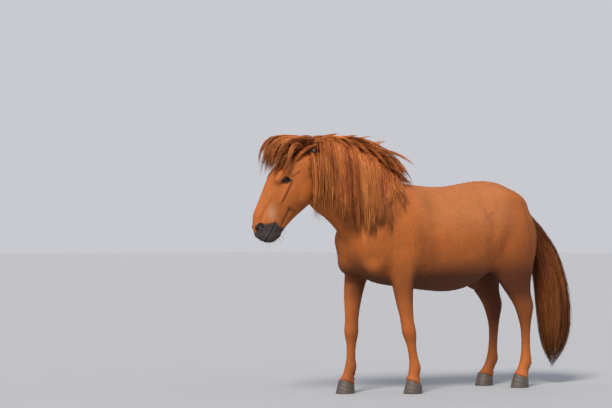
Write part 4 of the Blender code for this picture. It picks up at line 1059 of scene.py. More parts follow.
def tuft_object(name, ring, face):
    """One mesh of many tufts, each of four points and four faces."""
    faces = (np.arange(len(ring))[:, None, None] * TUFT_POINTS + np.array(face)).reshape(-1, 3)
    return array_object(name, ring.reshape(-1, 3) + ORIGIN_SHIFT, faces)


def add_tuft_tones(made, tone):
    """Gives each tuft its tone, and each of its points how far along it lies."""
    rest = np.ones(len(tone) * TUFT_POINTS)
    along = np.tile(TUFT_ALONG, len(tone))
    add_colours(made, "tone", np.stack([np.repeat(tone, TUFT_POINTS), along, 0 * rest, rest], axis=1))


def frames_along(lines, faces):
    """The side and upward direction at each place on each line."""
    along = np.gradient(lines, axis=1)
    along /= np.maximum(np.linalg.norm(along, axis=2), 1e-9)[:, :, None]
    up = faces - along * (faces * along).sum(2)[:, :, None]
    up /= np.maximum(np.linalg.norm(up, axis=2), 1e-9)[:, :, None]
    return along, up, np.cross(along, up)


def clear_of_ears(middle):
    """Which strands leave the open side of both ears in sight."""
    clear = np.ones(len(middle), bool)
    for side in (LEFT, RIGHT):
        low = head_point(0.060, 0.082, side * 0.062)
        high = head_point(-0.090, 0.004, side * 0.080)
        root, tip, outer = turned(np.array([low, high, low + np.array([-0.50, side * 0.86, 0.06])]))
        outer = unit(outer - root)
        along = unit(tip - root)
        away = middle - root
        down = np.clip(away @ along, 0.0, 0.150)
        off = away - down[:, :, None] * along
        height = off @ outer
        before = np.linalg.norm(off - height[:, :, None] * outer, axis=2)
        close = np.linalg.norm(off, axis=2) < 0.020
        clear &= ~(close | ((height > -0.012) & (before < 0.033))).any(axis=1)
    return clear


def make_strands(name, guides, count, seed):
    """Many thin tapered strands round guide lines, drawn together in locks towards their tips.
    A guide is its line, the directions away from the body, and its half width."""
    rng = np.random.default_rng(seed)
    lines, faces = [], []
    for line, face, _ in guides:
        at, wanted = np.linspace(0, 1, len(line)), np.linspace(0, 1, GUIDE_STEPS)
        lines.append(curve_through(at, np.array(line), wanted))
        faces.append(curve_through(at, np.array(face), wanted))
    lines, faces = np.array(lines), np.array(faces)
    along, up, side = frames_along(lines, faces)
    half = np.array([guide[2] for guide in guides])
    size = np.linalg.norm(np.diff(lines, axis=1), axis=2).sum(1)
    pick = rng.choice(len(guides), count, p=size * half / (size * half).sum())
    stations = np.linspace(0, 1, HAIR_STEPS) ** 1.35
    last = rng.uniform(0.62, 1.04, count)
    first = rng.uniform(0.0, 0.12, count)
    t = first[:, None] + (last - first)[:, None] * stations
    at = np.clip(t * (GUIDE_STEPS - 1), 0, GUIDE_STEPS - 1.001)
    low = at.astype(int)
    part = (at - low)[:, :, None]
    row = pick[:, None]

    def read(values):
        return values[row, low] * (1 - part) + values[row, low + 1] * part

    middle, across, above = read(lines), read(side), read(up)
    beyond = np.maximum(0, t - 1)[:, :, None] * size[pick][:, None, None]
    middle = middle + read(along) * beyond

    # Each strand's place in its lock, with its own wave.
    a, b = rng.normal(0, 0.55, count), rng.uniform(-1, 1, count)
    stray = rng.random(count) < 0.07
    a = np.where(stray, a * 1.9, a)
    spread = np.interp(t, [0, 0.25, 0.6, 1.04], [0.95, 1.05, 0.66, 0.20]) * half[pick][:, None]
    spread = np.where(stray[:, None], half[pick][:, None] * 0.9, spread)
    phase, pace = rng.uniform(0, 6.28, count)[:, None], rng.uniform(3, 8, count)[:, None]
    wave = 0.008 * t * np.sin(phase + pace * t)
    middle = middle + across * (a[:, None] * spread + wave)[:, :, None]
    rise = b[:, None] * spread * 0.42 + 0.004 * t * np.cos(phase * 1.7 + pace * t)
    middle = middle + above * rise[:, :, None]
    middle[:, :, 2] = np.maximum(middle[:, :, 2], 0.012)
    middle[:, :, 2] -= HAIR_PRESS * np.maximum(0, middle[:, :, 2] - HAIR_TOP)
    keep = clear_of_ears(middle)
    middle, above, across, pick, b = middle[keep], above[keep], across[keep], pick[keep], b[keep]
    count = len(middle)
    middle = held_off(middle)

    wide = panel_settings().strand_width * rng.uniform(0.55, 1.2, count)[:, None]
    wide = wide * np.interp(stations, [0, 0.2, 0.7, 1], [0.7, 1.0, 0.85, 0.25])
    tilt = rng.uniform(-0.9, 0.9, count)[:, None, None]
    _, above, across = frames_along(middle, above * np.cos(tilt) + across * np.sin(tilt))
    rings = np.empty((count, HAIR_STEPS - 1, 3, 3))
    for k, (u, v) in enumerate([(-0.5, -0.12), (0.5, -0.12), (0.0, 0.24)]):
        rings[:, :, k] = middle[:, :-1] + wide[:, :-1, None] * (u * across[:, :-1] + v * above[:, :-1])
    points = np.concatenate([rings.reshape(count, -1, 3), middle[:, -1:]], axis=1)
    size = points.shape[1]
    faces = (np.arange(count)[:, None, None] * size + strand_faces()).reshape(-1, 3)
    made = array_object(name, points.reshape(-1, 3) + ORIGIN_SHIFT, faces)

    down = np.repeat(np.arange(HAIR_STEPS - 1), 3) / (HAIR_STEPS - 1)
    offset = np.zeros((size, 2))
    offset[:-1, 0] = np.tile([-1, 1, 0], HAIR_STEPS - 1)
    offset[:-1, 1] = down * 2 - 1
    offset[-1] = (0, 1)
    add_places(made, (side_map(middle[:, 0])[:, None] + MAP_SIZE * offset).reshape(-1, 2))
    tone = np.clip(rng.normal(0, 0.20, count) + rng.uniform(0.1, 0.9, len(guides))[pick], 0, 1)
    # How deep each strand lies in its lock, which sets the painted shade there.
    depth = np.clip(0.5 + 0.5 * b, 0, 1)
    parts = [np.repeat(tone, size), np.tile(np.append(down, 1.0), count), np.repeat(depth, size)]
    add_colours(made, "tone", np.stack([*parts, np.ones(count * size)], 1))
    return made


def held_off(middle):
    """Strands with their points just outside the body where they would sink into it."""
    tree = body_shape()["tree"]
    flat = middle.reshape(-1, 3)
    for i, point in enumerate(flat):
        near, out, _, far = tree.find_nearest(Vector(point))
        if far < 0.05 and (Vector(point) - near).dot(out) < HAIR_LIFT:
            flat[i] = near + out * (HAIR_LIFT + 0.002 * (i % 3))
    return flat.reshape(middle.shape)


def strand_faces():
    """The faces of one strand: a root, three-sided rings and a pointed tip."""
    face = [(0, 2, 1)]
    for i in range(HAIR_STEPS - 2):
        for j in range(3):
            p, q = i * 3 + j, i * 3 + (j + 1) % 3
            face += [(p, q, q + 3), (p, q + 3, p + 3)]
    end = (HAIR_STEPS - 2) * 3
    face += [(end + j, end + (j + 1) % 3, end + 3) for j in range(3)]
    return np.array(face)


def side_map(root):
    """A map of roots as they are seen from the side."""
    low, high = root.min(0), root.max(0)
    return 0.02 + 0.96 * (root[:, [0, 2]] - low[[0, 2]]) / (high - low)[[0, 2]]


def hanging(tree, root, rise, lean, heading, length, steps, fall, lift, pull):
    """A lock that rises off the crest, turns over and hangs down close to the body."""
    rise, lean = np.array(rise), np.array(lean)
    line = [root, root + 0.75 * rise + 0.25 * lean, root + rise + lean]
    heading = np.array(heading, float)
    at = line[-1]
    for _ in range(steps):
        heading = unit(unit(heading) + fall * DOWN)
        at = at + heading * length / steps
        near, out, far = nearest(tree, at)
        height = (at - near) @ out
        if height < lift:
            at = near + out * lift
        elif far < 0.25:
            at = at - out * pull * (height - lift)
        line.append(at)
    return np.array(line)


def mane_guides(kind, count, seed):
    """The lines of the mane's locks: hanging on the left, blown up and back over the top, or on the right."""
    tree = body_shape()["tree"]
    dice = random.Random(seed)
    crest = crest_points(tree, CREST_PLACES)
    first, last = {"near": (0.0, 0.98), "top": (0.0, 0.99), "far": (0.02, 0.95)}[kind]
    made = []
    for i in range(count):
        share = first + (last - first) * (i + dice.uniform(0.0, 1.0)) / count
        root = crest[int(round(share * (CREST_PLACES - 1)))]
        swing = dice.uniform(-1, 1)
        if kind == "top":
            line = top_lock(tree, dice, share, root)
        else:
            line = side_lock(tree, dice, kind, share, root, swing, i % 2)
        half = dice.uniform(0.020, 0.032) if kind == "top" else dice.uniform(0.013, 0.024)
        made.append((line, faces_along(tree, line, 0.1), half))
    return made


def top_lock(tree, dice, share, root):
    """A lock blown up and back over the crest. Some are ragged, and those at the poll part both ways."""
    puff, _ = mane_lengths(share)
    side = dice.choice((LEFT, LEFT, RIGHT))
    high = puff * dice.uniform(0.40, 1.05)
    ragged = dice.random() < 0.14
    rise = (0.01, side * 0.006, high)
    lean = (0.035, side * dice.uniform(0.0, 0.02), 0.012)
    heading = (1, side * dice.uniform(0.0, 0.7), 0.75 if ragged else 0.15)
    length = dice.uniform(0.08, 0.14) if ragged else dice.uniform(0.14, 0.30)
    fall = 0.06 if ragged else dice.uniform(0.10, 0.24)
    if share < 0.09:
        way = dice.choice((-1, 1))
        rise = (0.01, side * 0.006, puff * dice.uniform(0.55, 0.90) + 0.008)
        lean = (0.035 * way, side * dice.uniform(0.0, 0.03), 0.010)
        heading = (way, side * dice.uniform(0.1, 0.7), 0.20)
        length, fall = dice.uniform(0.10, 0.20), 0.22
    late = ease(share, 0.78, 1.0)
    length, fall = length * (1 - 0.50 * late), fall + 0.25 * late
    return hanging(tree, root, rise, lean, heading, length, 8, fall, dice.uniform(0.008, 0.03), 0.0)


def side_lock(tree, dice, kind, share, root, swing, odd):
    """A lock that hangs down the near or far side of the neck. Some of the first grow behind the ear."""
    puff, near = mane_lengths(share)
    side = LEFT if kind == "near" else RIGHT
    high = puff * dice.uniform(0.02, 0.85) ** 1.2
    ahead = 1 - ease(share, 0.0, 0.13)
    rise = (0.004, side * 0.010, high)
    lean = (0.012 + 0.01 * swing - 0.100 * ahead, side * (0.030 + 0.15 * high), 0.0)
    heading = (-0.34 + 0.42 * share + 0.14 * swing + 0.22 * ahead, side, -0.20)
    length = near * dice.uniform(0.80, 1.12) + 0.04 - 0.10 * ease(share, 0.6, 1.0)
    length *= 1.0 if kind == "near" else 0.78
    length *= 0.90 + 0.10 * ease(share, 0.12, 0.34)
    if share < 0.20 and odd:
        low = dice.random()
        back = 0.045 - 0.070 * low - 0.024 * (1 + swing)
        root = lifted(tree, turned(head_point(0.110 * low - 0.020, back, side * 0.060)[None])[0], 0.004)
        rise, lean = (0.0, side * 0.006, 0.002), (0.006, side * 0.012, -0.016)
        heading, length = (0.12 + 0.1 * swing, side * 0.3, -0.6), dice.uniform(0.24, 0.36)
    if kind == "far":
        length *= 0.45 + 0.55 * ease(share, 0.12, 0.36)
    line = hanging(tree, root, rise, lean, heading, length, 10, 0.50, dice.uniform(0.006, 0.034), 0.10)
    bend = dice.uniform(0.003, 0.014) * np.linspace(0, 1, len(line))
    line[:, 0] += bend * np.sin(np.linspace(0, 4.5, len(line)) + 6.28 * dice.random())
    return line


# The forelock's locks from root to tip: places down the head and forward, and how far aside.
FORELOCK_OUTER = np.array([
    (-0.030, 0.030), (-0.086, 0.062), (-0.088, 0.130), (-0.030, 0.236), (0.054, 0.282), (0.136, 0.276), (0.212, 0.240),
])
FORELOCK_INNER = np.array([
    (0.030, 0.070), (0.020, 0.115), (0.030, 0.140), (0.070, 0.158), (0.115, 0.170), (0.155, 0.178), (0.195, 0.182),
])
FORELOCK_ACROSS = np.array([0.040, 0.058, 0.078, 0.094, 0.102, 0.100, 0.092])
TEMPLE = np.array([
    (0.03, 0.07), (-0.01, 0.105), (0.03, 0.122), (0.09, 0.118), (0.14, 0.112), (0.18, 0.106), (0.205, 0.10),
])
TEMPLE_ACROSS = np.array([0.050, 0.078, 0.100, 0.110, 0.112, 0.108, 0.102])
BESIDE_EAR = np.array([
    (0.03, 0.08), (0.00, 0.110), (0.03, 0.122), (0.068, 0.108), (0.102, 0.086), (0.132, 0.062), (0.160, 0.040),
])
BESIDE_ACROSS = np.array([0.050, 0.080, 0.100, 0.106, 0.105, 0.101, 0.095])


def forelock_guides(count, seed):
    """The lines of the forelock's locks, blown up and forward before they fall over the forehead."""
    tree = body_shape()["tree"]
    dice = random.Random(seed)
    made = []
    for i in range(count):
        layer = ((i + dice.random()) / count) ** 0.7
        aside = dice.uniform(-1, 1)
        if i % 5 in (0, 1, 3):
            aside = LEFT if dice.random() < 0.6 else RIGHT
            base, wide, up = (TEMPLE, TEMPLE_ACROSS, 0.03) if i % 5 == 0 else (BESIDE_EAR, BESIDE_ACROSS, 0.02)
            path = base + np.outer([0, 0.6, 1, 1, 1, 1, 1], [-0.02 * layer, up * layer])
            across = aside * wide
        else:
            path = FORELOCK_INNER + layer * (FORELOCK_OUTER - FORELOCK_INNER)
            path = path + np.outer([0, 0.3, 0.6, 0.9, 1, 1, 0.8], [0.0, -0.060 * aside**2])
            across = aside * FORELOCK_ACROSS + dice.uniform(-0.012, 0.012)
        path[1:] += np.array([dice.uniform(-0.016, 0.016), dice.uniform(-0.012, 0.012)])
        path[3:] += np.outer([0.2, 0.5, 0.8, 1.0], [dice.uniform(-0.03, 0.03), dice.uniform(-0.018, 0.018)])
        reach = dice.uniform(0.80, 1.08)
        line = np.array([head_point(s, t, y) for (s, t), y in zip(path, across)])
        line = turned(curve_through(np.linspace(0, 1, 7), line, np.linspace(0, min(reach, 1.0), 12)))
        line = np.array([line[0]] + [lifted(tree, at, 0.006) for at in line[1:]])
        made.append((line, faces_along(tree, line, 0.1), dice.uniform(0.011, 0.019)))
    return made


def tail_guides(count, seed):
    """The lines of the tail's locks, from the dock down through the outline of its slices."""
    rows = smooth_rows(tail_rows(), TAIL_SLICES)
    dice = random.Random(seed)
    made = []
    for i in range(count):
        turn = 2 * math.pi * (i * 0.618 % 1.0)
        layer = dice.random()
        start = 1 + 22 * layer * dice.random()
        stop = TAIL_SLICES - 1 - dice.randint(0, 12) * (i % 2)
        line, flat = [], []
        depth = dice.uniform(0.55, 1.02)
        for k, at in enumerate(np.linspace(start, stop, 12)):
            row = rows[int(round(at))]
            share = k / 11
            grow = depth * np.interp(share, [0, 0.12, 0.3, 0.8, 1], [0.30, 0.70, 0.88, 1.0, 1.06])
            swing = turn + 0.35 * math.sin(2.2 * share + i)
            middle = np.array([(row[0] + row[2]) / 2, row[4], (row[1] + row[3]) / 2])
            reach = np.array([(row[2] - row[0]) / 2, 0, (row[3] - row[1]) / 2])
            out = math.sin(swing) * reach + np.array([0, math.cos(swing) * row[6], 0])
            line.append(middle + grow * out)
            flat.append(unit(out))
        line = np.array(line)
        line[:, 2] = np.maximum(line[:, 2], 0.03)
        made.append((line, np.array(flat), dice.uniform(0.014, 0.026)))
    return made


def bristle_lines():
    """The lashes over each eye and the long hairs of the muzzle and chin, as short lines."""
    dice = random.Random(11)
    tree = body_shape()["tree"]
    lines = []
    for side in (LEFT, RIGHT):
        for i in range(LASHES):
            long = -0.017 + 0.032 * i / (LASHES - 1)
            high = ALMOND[1] * 1.05 * math.sqrt(max(0.0, 1 - (long / ALMOND[0]) ** 2 * 0.9))
            start = over_eyeball(side, long, high, 0.0044)
            length = dice.uniform(0.006, 0.011)
            fan = (0.25 + 14 * long) * HEAD_ALONG * 0.6 + 0.12 * HEAD_UP
            ahead = np.array([0, side * 0.85, 0]) + fan
            shares = np.linspace(0, 1, BRISTLE_POINTS)
            line = [start + length * share * (ahead + 0.35 * share * HEAD_UP) for share in shares]
            lines.append(turned(np.array(line)))
    for i in range(WHISKERS):
        side = (LEFT, RIGHT)[i % 2]
        if i < LIP_WHISKERS:
            s, t = dice.uniform(0.50, 0.60), dice.uniform(-0.05, 0.075)
        else:
            s, t = dice.uniform(0.47, 0.56), dice.uniform(-0.085, -0.05)
        at = turned(head_point(s, t, side * dice.uniform(0.015, 0.055))[None])[0]
        near, out, _ = nearest(tree, at)
        length = dice.uniform(0.015, 0.045)
        bend = np.array([dice.uniform(-0.2, 0.2), 0, -0.5])
        shares = np.linspace(-0.02, 1, BRISTLE_POINTS)
        lines.append(np.array([near + length * share * (out + share * bend) for share in shares]))
    return lines


def bristle_tree():
    """A node tree that gives each line a round, tapered body."""
    tree = bpy.data.node_groups.new("Bristles", "GeometryNodeTree")
    face = tree.interface
    face.new_socket("Geometry", in_out="INPUT", socket_type="NodeSocketGeometry")
    face.new_socket("Thickness", in_out="INPUT", socket_type="NodeSocketFloat").default_value = 0.0005
    face.new_socket("Material", in_out="INPUT", socket_type="NodeSocketMaterial")
    face.new_socket("Geometry", in_out="OUTPUT", socket_type="NodeSocketGeometry")
    nodes, links = tree.nodes, tree.links
    start, end = nodes.new("NodeGroupInput"), nodes.new("NodeGroupOutput")
    curve = nodes.new("GeometryNodeMeshToCurve")
    ring = nodes.new("GeometryNodeCurvePrimitiveCircle")
    ring.inputs["Resolution"].default_value = 5
    along = nodes.new("GeometryNodeSplineParameter")
    taper = nodes.new("ShaderNodeMapRange")
    taper.inputs["To Min"].default_value = 1.0
    taper.inputs["To Max"].default_value = 0.15
    thick = nodes.new("ShaderNodeMath")
    thick.operation = "MULTIPLY"
    solid = nodes.new("GeometryNodeCurveToMesh")
    solid.inputs["Fill Caps"].default_value = True
    real = nodes.new("GeometryNodeRealizeInstances")
    coat = nodes.new("GeometryNodeSetMaterial")
    links.new(start.outputs["Geometry"], curve.inputs["Mesh"])
    links.new(along.outputs["Factor"], taper.inputs["Value"])
    links.new(taper.outputs["Result"], thick.inputs[0])
    links.new(start.outputs["Thickness"], thick.inputs[1])
    ring.inputs["Radius"].default_value = 1.0
    links.new(ring.outputs["Curve"], solid.inputs["Profile Curve"])
    links.new(thick.outputs["Value"], solid.inputs["Scale"])
    links.new(curve.outputs["Curve"], solid.inputs["Curve"])
    links.new(solid.outputs["Mesh"], real.inputs["Geometry"])
    links.new(real.outputs["Geometry"], coat.inputs["Geometry"])
    links.new(start.outputs["Material"], coat.inputs["Material"])
    links.new(coat.outputs["Geometry"], end.inputs["Geometry"])
    return tree


def make_bristles(thickness, finish):
    """The lashes and whiskers, to which a node tree gives their bodies."""
    lines = bristle_lines()
    mesh = bpy.data.meshes.new("bristles")
    starts = [BRISTLE_POINTS * i + k for i in range(len(lines)) for k in range(BRISTLE_POINTS - 1)]
    mesh.from_pydata((np.concatenate(lines) + ORIGIN_SHIFT).tolist(), [(k, k + 1) for k in starts], [])
    made = linked("lashes_and_whiskers", mesh)
    tree = bristle_tree()
    modifier = made.modifiers.new("bristles", "NODES")
    modifier.node_group = tree
    names = {item.name: item.identifier for item in tree.interface.items_tree if item.in_out == "INPUT"}
    modifier[names["Thickness"]] = thickness
    modifier[names["Material"]] = finish
    settled(made)
    return shaded_smooth(made)


def lid_rims():
    """The rim of the lids round each eye, as a soft band that rests on the eyeball."""
    rings = 72
    profile = [
        (0.93, -0.0020), (0.955, 0.0008), (1.00, 0.0026), (1.07, 0.0037),
        (1.15, 0.0039), (1.22, 0.0026), (1.26, -0.0010),
    ]
    count = len(profile)
    points, faces = [], []
    for side in (LEFT, RIGHT):
        base = len(points)
        for i in range(rings):
            angle = 2 * math.pi * i / rings
            for size, above in profile:
                long, high = ALMOND[0] * size * math.cos(angle), ALMOND[1] * size * math.sin(angle)
                points.append(over_eyeball(side, long, high, above))
        for i in range(rings):
            j = (i + 1) % rings
            for k in range(count):
                m = (k + 1) % count
                quad = [base + i * count + k, base + j * count + k, base + j * count + m, base + i * count + m]
                faces.append(quad if side == LEFT else quad[::-1])
    made = mesh_object("lid_rims", turned(np.array(points)) + ORIGIN_SHIFT, faces)
    bm = bmesh.new()
    bm.from_mesh(made.data)
    bmesh.ops.recalc_face_normals(bm, faces=bm.faces)
    bm.to_mesh(made.data)
    bm.free()
    return shaded_smooth(made)


def eyeball(side, name):
    """An eyeball with its clear front bulging a little, and how far each point is from the front's middle."""
    bm = bmesh.new()
    bmesh.ops.create_icosphere(bm, subdivisions=5, radius=1.0)
    points = np.array([v.co[:] for v in bm.verts])
    toward = points @ unit(np.array([-0.10, side * 0.97, -0.12]))
    bulge = 0.0010 * ease(toward, 0.72, 0.95)
    along = EYE_TILT[0] * HEAD_ALONG + EYE_TILT[1] * HEAD_UP
    high = EYE_TILT[0] * HEAD_UP - EYE_TILT[1] * HEAD_ALONG
    place = np.stack([points @ along, points @ high, toward, np.ones(len(points))], axis=1)
    place[:, :2] = 0.5 + 0.5 * place[:, :2]
    shape = eye_centre(side) + points * (EYE_RADIUS + bulge)[:, None]
    mesh = bpy.data.meshes.new(name)
    bm.to_mesh(mesh)
    bm.free()
    mesh.vertices.foreach_set("co", (turned(shape) + ORIGIN_SHIFT).astype(np.float32).ravel())
    made = shaded_smooth(linked(name, mesh))
    add_colours(made, "iris", place)
    mesh.update()
    return made


def make_ear(side, name):
    """A cupped ear with a soft edge, laid back."""
    bm = bmesh.new()
    add_ear(bm, side)
    made = bmesh_object(name, bm)
    points, triangles = mesh_arrays(made.data)
    points = smoothed(points, triangles, 3, np.full(len(points), 0.6))
    place = np.arange(len(points)) % (2 * EAR_ARC)
    edge = np.isin(place, EAR_EDGES) * 1.0
    inner = (place >= EAR_ARC) * 1.0
    from_root = np.linalg.norm(points - turned(head_point(0.060, 0.082, side * 0.062)[None])[0], axis=1)
    made.data.vertices.foreach_set("co", (points + ORIGIN_SHIFT).astype(np.float32).ravel())
    shaded_smooth(made)
    add_colours(made, "marks", np.stack([edge, from_root / 0.16, inner, np.ones(len(points))], 1))
    return made


def ear_tufts():
    """The soft hair that stands along the edges of the ears and fills their cups."""
    rng = np.random.default_rng(21)
    tried = 2600
    roots, ways, ups = [], [], []
    for side in (LEFT, RIGHT):
        bm = bmesh.new()
        add_ear(bm, side)
        points = np.array([v.co[:] for v in bm.verts]).reshape(EAR_RINGS, 2 * EAR_ARC, 3)
        bm.free()
        along = unit(points[-1].mean(0) - points[0].mean(0))
        for _ in range(tried):
            i, k = rng.integers(1, EAR_RINGS - 2), rng.integers(0, 2 * EAR_ARC)
            inside, edge = k >= EAR_ARC, k in EAR_EDGES
            if inside and rng.random() < 0.35:
                continue
            at = points[i, k] + rng.random() * (points[i + 1, k] - points[i, k])
            away = at - points[i].mean(0)
            away -= along * (away @ along)
            away /= max(np.linalg.norm(away), 1e-6)
            up = -away if inside else away
            way = along * (0.5 if edge else 0.9) + up * (0.55 if inside else 0.18)
            if edge:
                way = way + 0.6 * (points[i, 2 * EAR_ARC - 1 - k] - at) / 0.02 * 0.2
            roots.append(at)
            ways.append(unit(way))
            ups.append(up)
    roots, ways, ups = np.array(roots), np.array(ways), np.array(ups)
    count = len(roots)
    long = rng.uniform(0.008, 0.016, count)[:, None]
    wide = rng.uniform(0.0012, 0.0022, count)[:, None]
    side = np.cross(ups, ways)
    ring = np.stack([
        roots - side * wide / 2 - ups * 0.0006,
        roots + side * wide / 2 - ups * 0.0006,
        roots + ways * long * 0.35 + ups * 0.0012,
        roots + ways * long + ups * 0.0010,
    ], axis=1)
    made = tuft_object("coat_ears", ring, [[0, 2, 3], [2, 1, 3], [0, 1, 2], [0, 3, 1]])
    add_places(made, (side_map(roots)[:, None] + TUFT_MAP).reshape(-1, 2))
    # A slight value in the shade mark, the channel that paints shade on the coat, darkens the ear tufts a little.
    add_colours(made, "marks", np.tile([0.0, 0.0, 0.0, 0.05], (count * TUFT_POINTS, 1)))
    add_tuft_tones(made, rng.uniform(0.2, 0.8, count))
    return made


def make_hoof(name, centre, y, seed):
    """A hoof with its growth rings and a rounded sole edge, cut off along the slanting edge of its horn."""
    bm = bmesh.new()
    rows = smooth_rows(hoof_rows(centre, y), 44)
    add_rings(bm, [slice_ring(row, HOOF_POINTS) for row in rows])
    points = np.array([v.co[:] for v in bm.verts])
    height = points[:, 2].copy()
    middle = np.array([centre - 0.030, y])
    away = points[:, :2] - middle
    reach = np.maximum(np.linalg.norm(away, axis=1), 1e-6)
    turn = np.arctan2(away[:, 1], away[:, 0])
    slope = (points[:, 0] - centre) * 0.42
    ringed = np.sin((height + slope) * 520 + seed) * 0.5 + np.sin((height + slope) * 233 + 2 * seed) * 0.5
    crack = 0.4 * np.sin(turn * 37 + seed) * np.sin(turn * 11 + 1.3)
    push = 0.0006 * ringed + 0.0003 * crack
    push = push - 0.0030 * ease(0.005 - height, 0.0, 0.005)
    points[:, :2] += away / reach[:, None] * push[:, None]
    for vertex, point in zip(bm.verts, points):
        vertex.co = point
    hoof = bmesh_object(name, bm)
    cut_off(hoof, (centre - CORONET_BACK, y, CORONET_HIGH), CORONET_SLOPE, 0.002)
    hoof.data.transform(Matrix.Translation(Vector(ORIGIN_SHIFT)))
    shaded_smooth(hoof)
    modifier = hoof.modifiers.new("edges", "BEVEL")
    modifier.width = 0.0012
    modifier.segments = 2
    modifier.limit_method = "ANGLE"
    modifier.angle_limit = math.radians(50)
    settled(hoof)
    return hoof


def new_finish(name, roughness, specular=0.5):
    """A new material, its node tree and its shader."""
    made = bpy.data.materials.new(name)
    made.use_nodes = True
    shader = made.node_tree.nodes["Principled BSDF"]
    shader.inputs["Roughness"].default_value = roughness
    shader.inputs["Specular IOR Level"].default_value = specular
    return made, made.node_tree, shader


def maths(tree, kind, first, second):
    """What a math node makes of two values, each a socket or a number."""
    node = tree.nodes.new("ShaderNodeMath")
    node.operation = kind
    for value, socket in ((first, node.inputs[0]), (second, node.inputs[1])):
        if isinstance(value, float):
            socket.default_value = value
        else:
            tree.links.new(value, socket)
    return node.outputs[0]


def parts_of(tree, colour):
    """The red, green and blue of a colour."""
    node = tree.nodes.new("ShaderNodeSeparateColor")
    tree.links.new(colour, node.inputs["Color"])
    return node.outputs


def mixed(tree, low, high, share):
    """A colour between two, as sockets or plain colours."""
    node = tree.nodes.new("ShaderNodeMix")
    node.data_type = "RGBA"
    for value, socket in ((low, node.inputs[6]), (high, node.inputs[7]), (share, node.inputs[0])):
        if isinstance(value, bpy.types.NodeSocket):
            tree.links.new(value, socket)
        elif isinstance(value, (int, float)):
            socket.default_value = value
        else:
            socket.default_value = (*value, 1)
    return node.outputs[2]


def ranged(tree, value, low, high, start=0.0, stop=1.0):
    """A value between low and high, stretched to lie between start and stop."""
    node = tree.nodes.new("ShaderNodeMapRange")
    node.inputs["From Min"].default_value = low
    node.inputs["From Max"].default_value = high
    node.inputs["To Min"].default_value = start
    node.inputs["To Max"].default_value = stop
    tree.links.new(value, node.inputs["Value"])
    return node.outputs["Result"]


def noise(tree, scale, detail=3.0, stretch=(1, 1, 1), rough=0.55):
    """Soft noise over the object, stretched along its axes."""
    place = tree.nodes.new("ShaderNodeTexCoord")
    mapping = tree.nodes.new("ShaderNodeMapping")
    mapping.inputs["Scale"].default_value = stretch
    made = tree.nodes.new("ShaderNodeTexNoise")
    made.inputs["Scale"].default_value = scale
    made.inputs["Detail"].default_value = detail
    made.inputs["Roughness"].default_value = rough
    tree.links.new(place.outputs["Object"], mapping.inputs["Vector"])
    tree.links.new(mapping.outputs["Vector"], made.inputs["Vector"])
    return made.outputs["Fac"]


def group_sockets(tree, inputs, outputs):
    """Gives a node group its inputs and outputs."""
    for name, kind, value in inputs:
        socket = tree.interface.new_socket(name, in_out="INPUT", socket_type=kind)
        socket.default_value = value
    for name, kind in outputs:
        tree.interface.new_socket(name, in_out="OUTPUT", socket_type=kind)
    return tree.nodes.new("NodeGroupInput"), tree.nodes.new("NodeGroupOutput")


def coat_group():
    """The colours of the short coat: chestnut in soft patches, with the marks of muzzle and eyes, the pale patch,
    painted shade and painted light.
    """
    if "Coat Colours" in bpy.data.node_groups:
        return bpy.data.node_groups["Coat Colours"]
    tree = bpy.data.node_groups.new("Coat Colours", "ShaderNodeTree")
    start, end = group_sockets(
        tree,
        [
            ("Coat", "NodeSocketColor", (0.33, 0.1, 0.03, 1)),
            ("Shade", "NodeSocketColor", (0.1, 0.03, 0.01, 1)),
            ("Muzzle", "NodeSocketColor", (0.04, 0.03, 0.03, 1)),
            ("Pale", "NodeSocketColor", (0.4, 0.25, 0.12, 1)),
            ("Marks", "NodeSocketColor", (0, 0, 0, 1)),
            ("Shadow Mark", "NodeSocketFloat", 0.0),
            ("Mottle", "NodeSocketFloat", 1.0),
        ],
        [("Color", "NodeSocketColor"), ("Height", "NodeSocketFloat")],
    )
    marks = parts_of(tree, start.outputs["Marks"])
    wide = ranged(tree, noise(tree, 5.0, 4.0), 0.35, 0.68)
    small = ranged(tree, noise(tree, 60.0, 3.0, (1, 1, 0.35)), 0.30, 0.75)
    hair = ranged(tree, noise(tree, 420.0, 2.0, (1, 1, 0.30)), 0.25, 0.75)
    colour = start.outputs["Coat"]
    for grain, depth in ((wide, 0.22), (small, 0.12), (hair, 0.20)):
        share = maths(tree, "MULTIPLY", maths(tree, "MULTIPLY", grain, depth), start.outputs["Mottle"])
        colour = mixed(tree, colour, start.outputs["Shade"], share)
    # Painted shade from the shade mark.
    colour = mixed(tree, colour, start.outputs["Shade"], start.outputs["Shadow Mark"])
    # The pale patch, and the painted light on the top of the trunk.
    colour = mixed(tree, colour, start.outputs["Pale"], maths(tree, "MULTIPLY", marks["Green"], 0.80))
    edge = maths(tree, "ADD", marks["Red"], ranged(tree, noise(tree, 130.0, 4.0), 0.3, 0.7, -0.18, 0.18))
    colour = mixed(tree, colour, start.outputs["Muzzle"], ranged(tree, edge, 0.22, 0.80))
    # Near black for the hairless skin and the painted shade round the eyes, along the mouth and in the nostrils.
    colour = mixed(tree, colour, (0.018, 0.013, 0.012), marks["Blue"])
    tree.links.new(colour, end.inputs["Color"])
    tree.links.new(hair, end.inputs["Height"])
    return tree


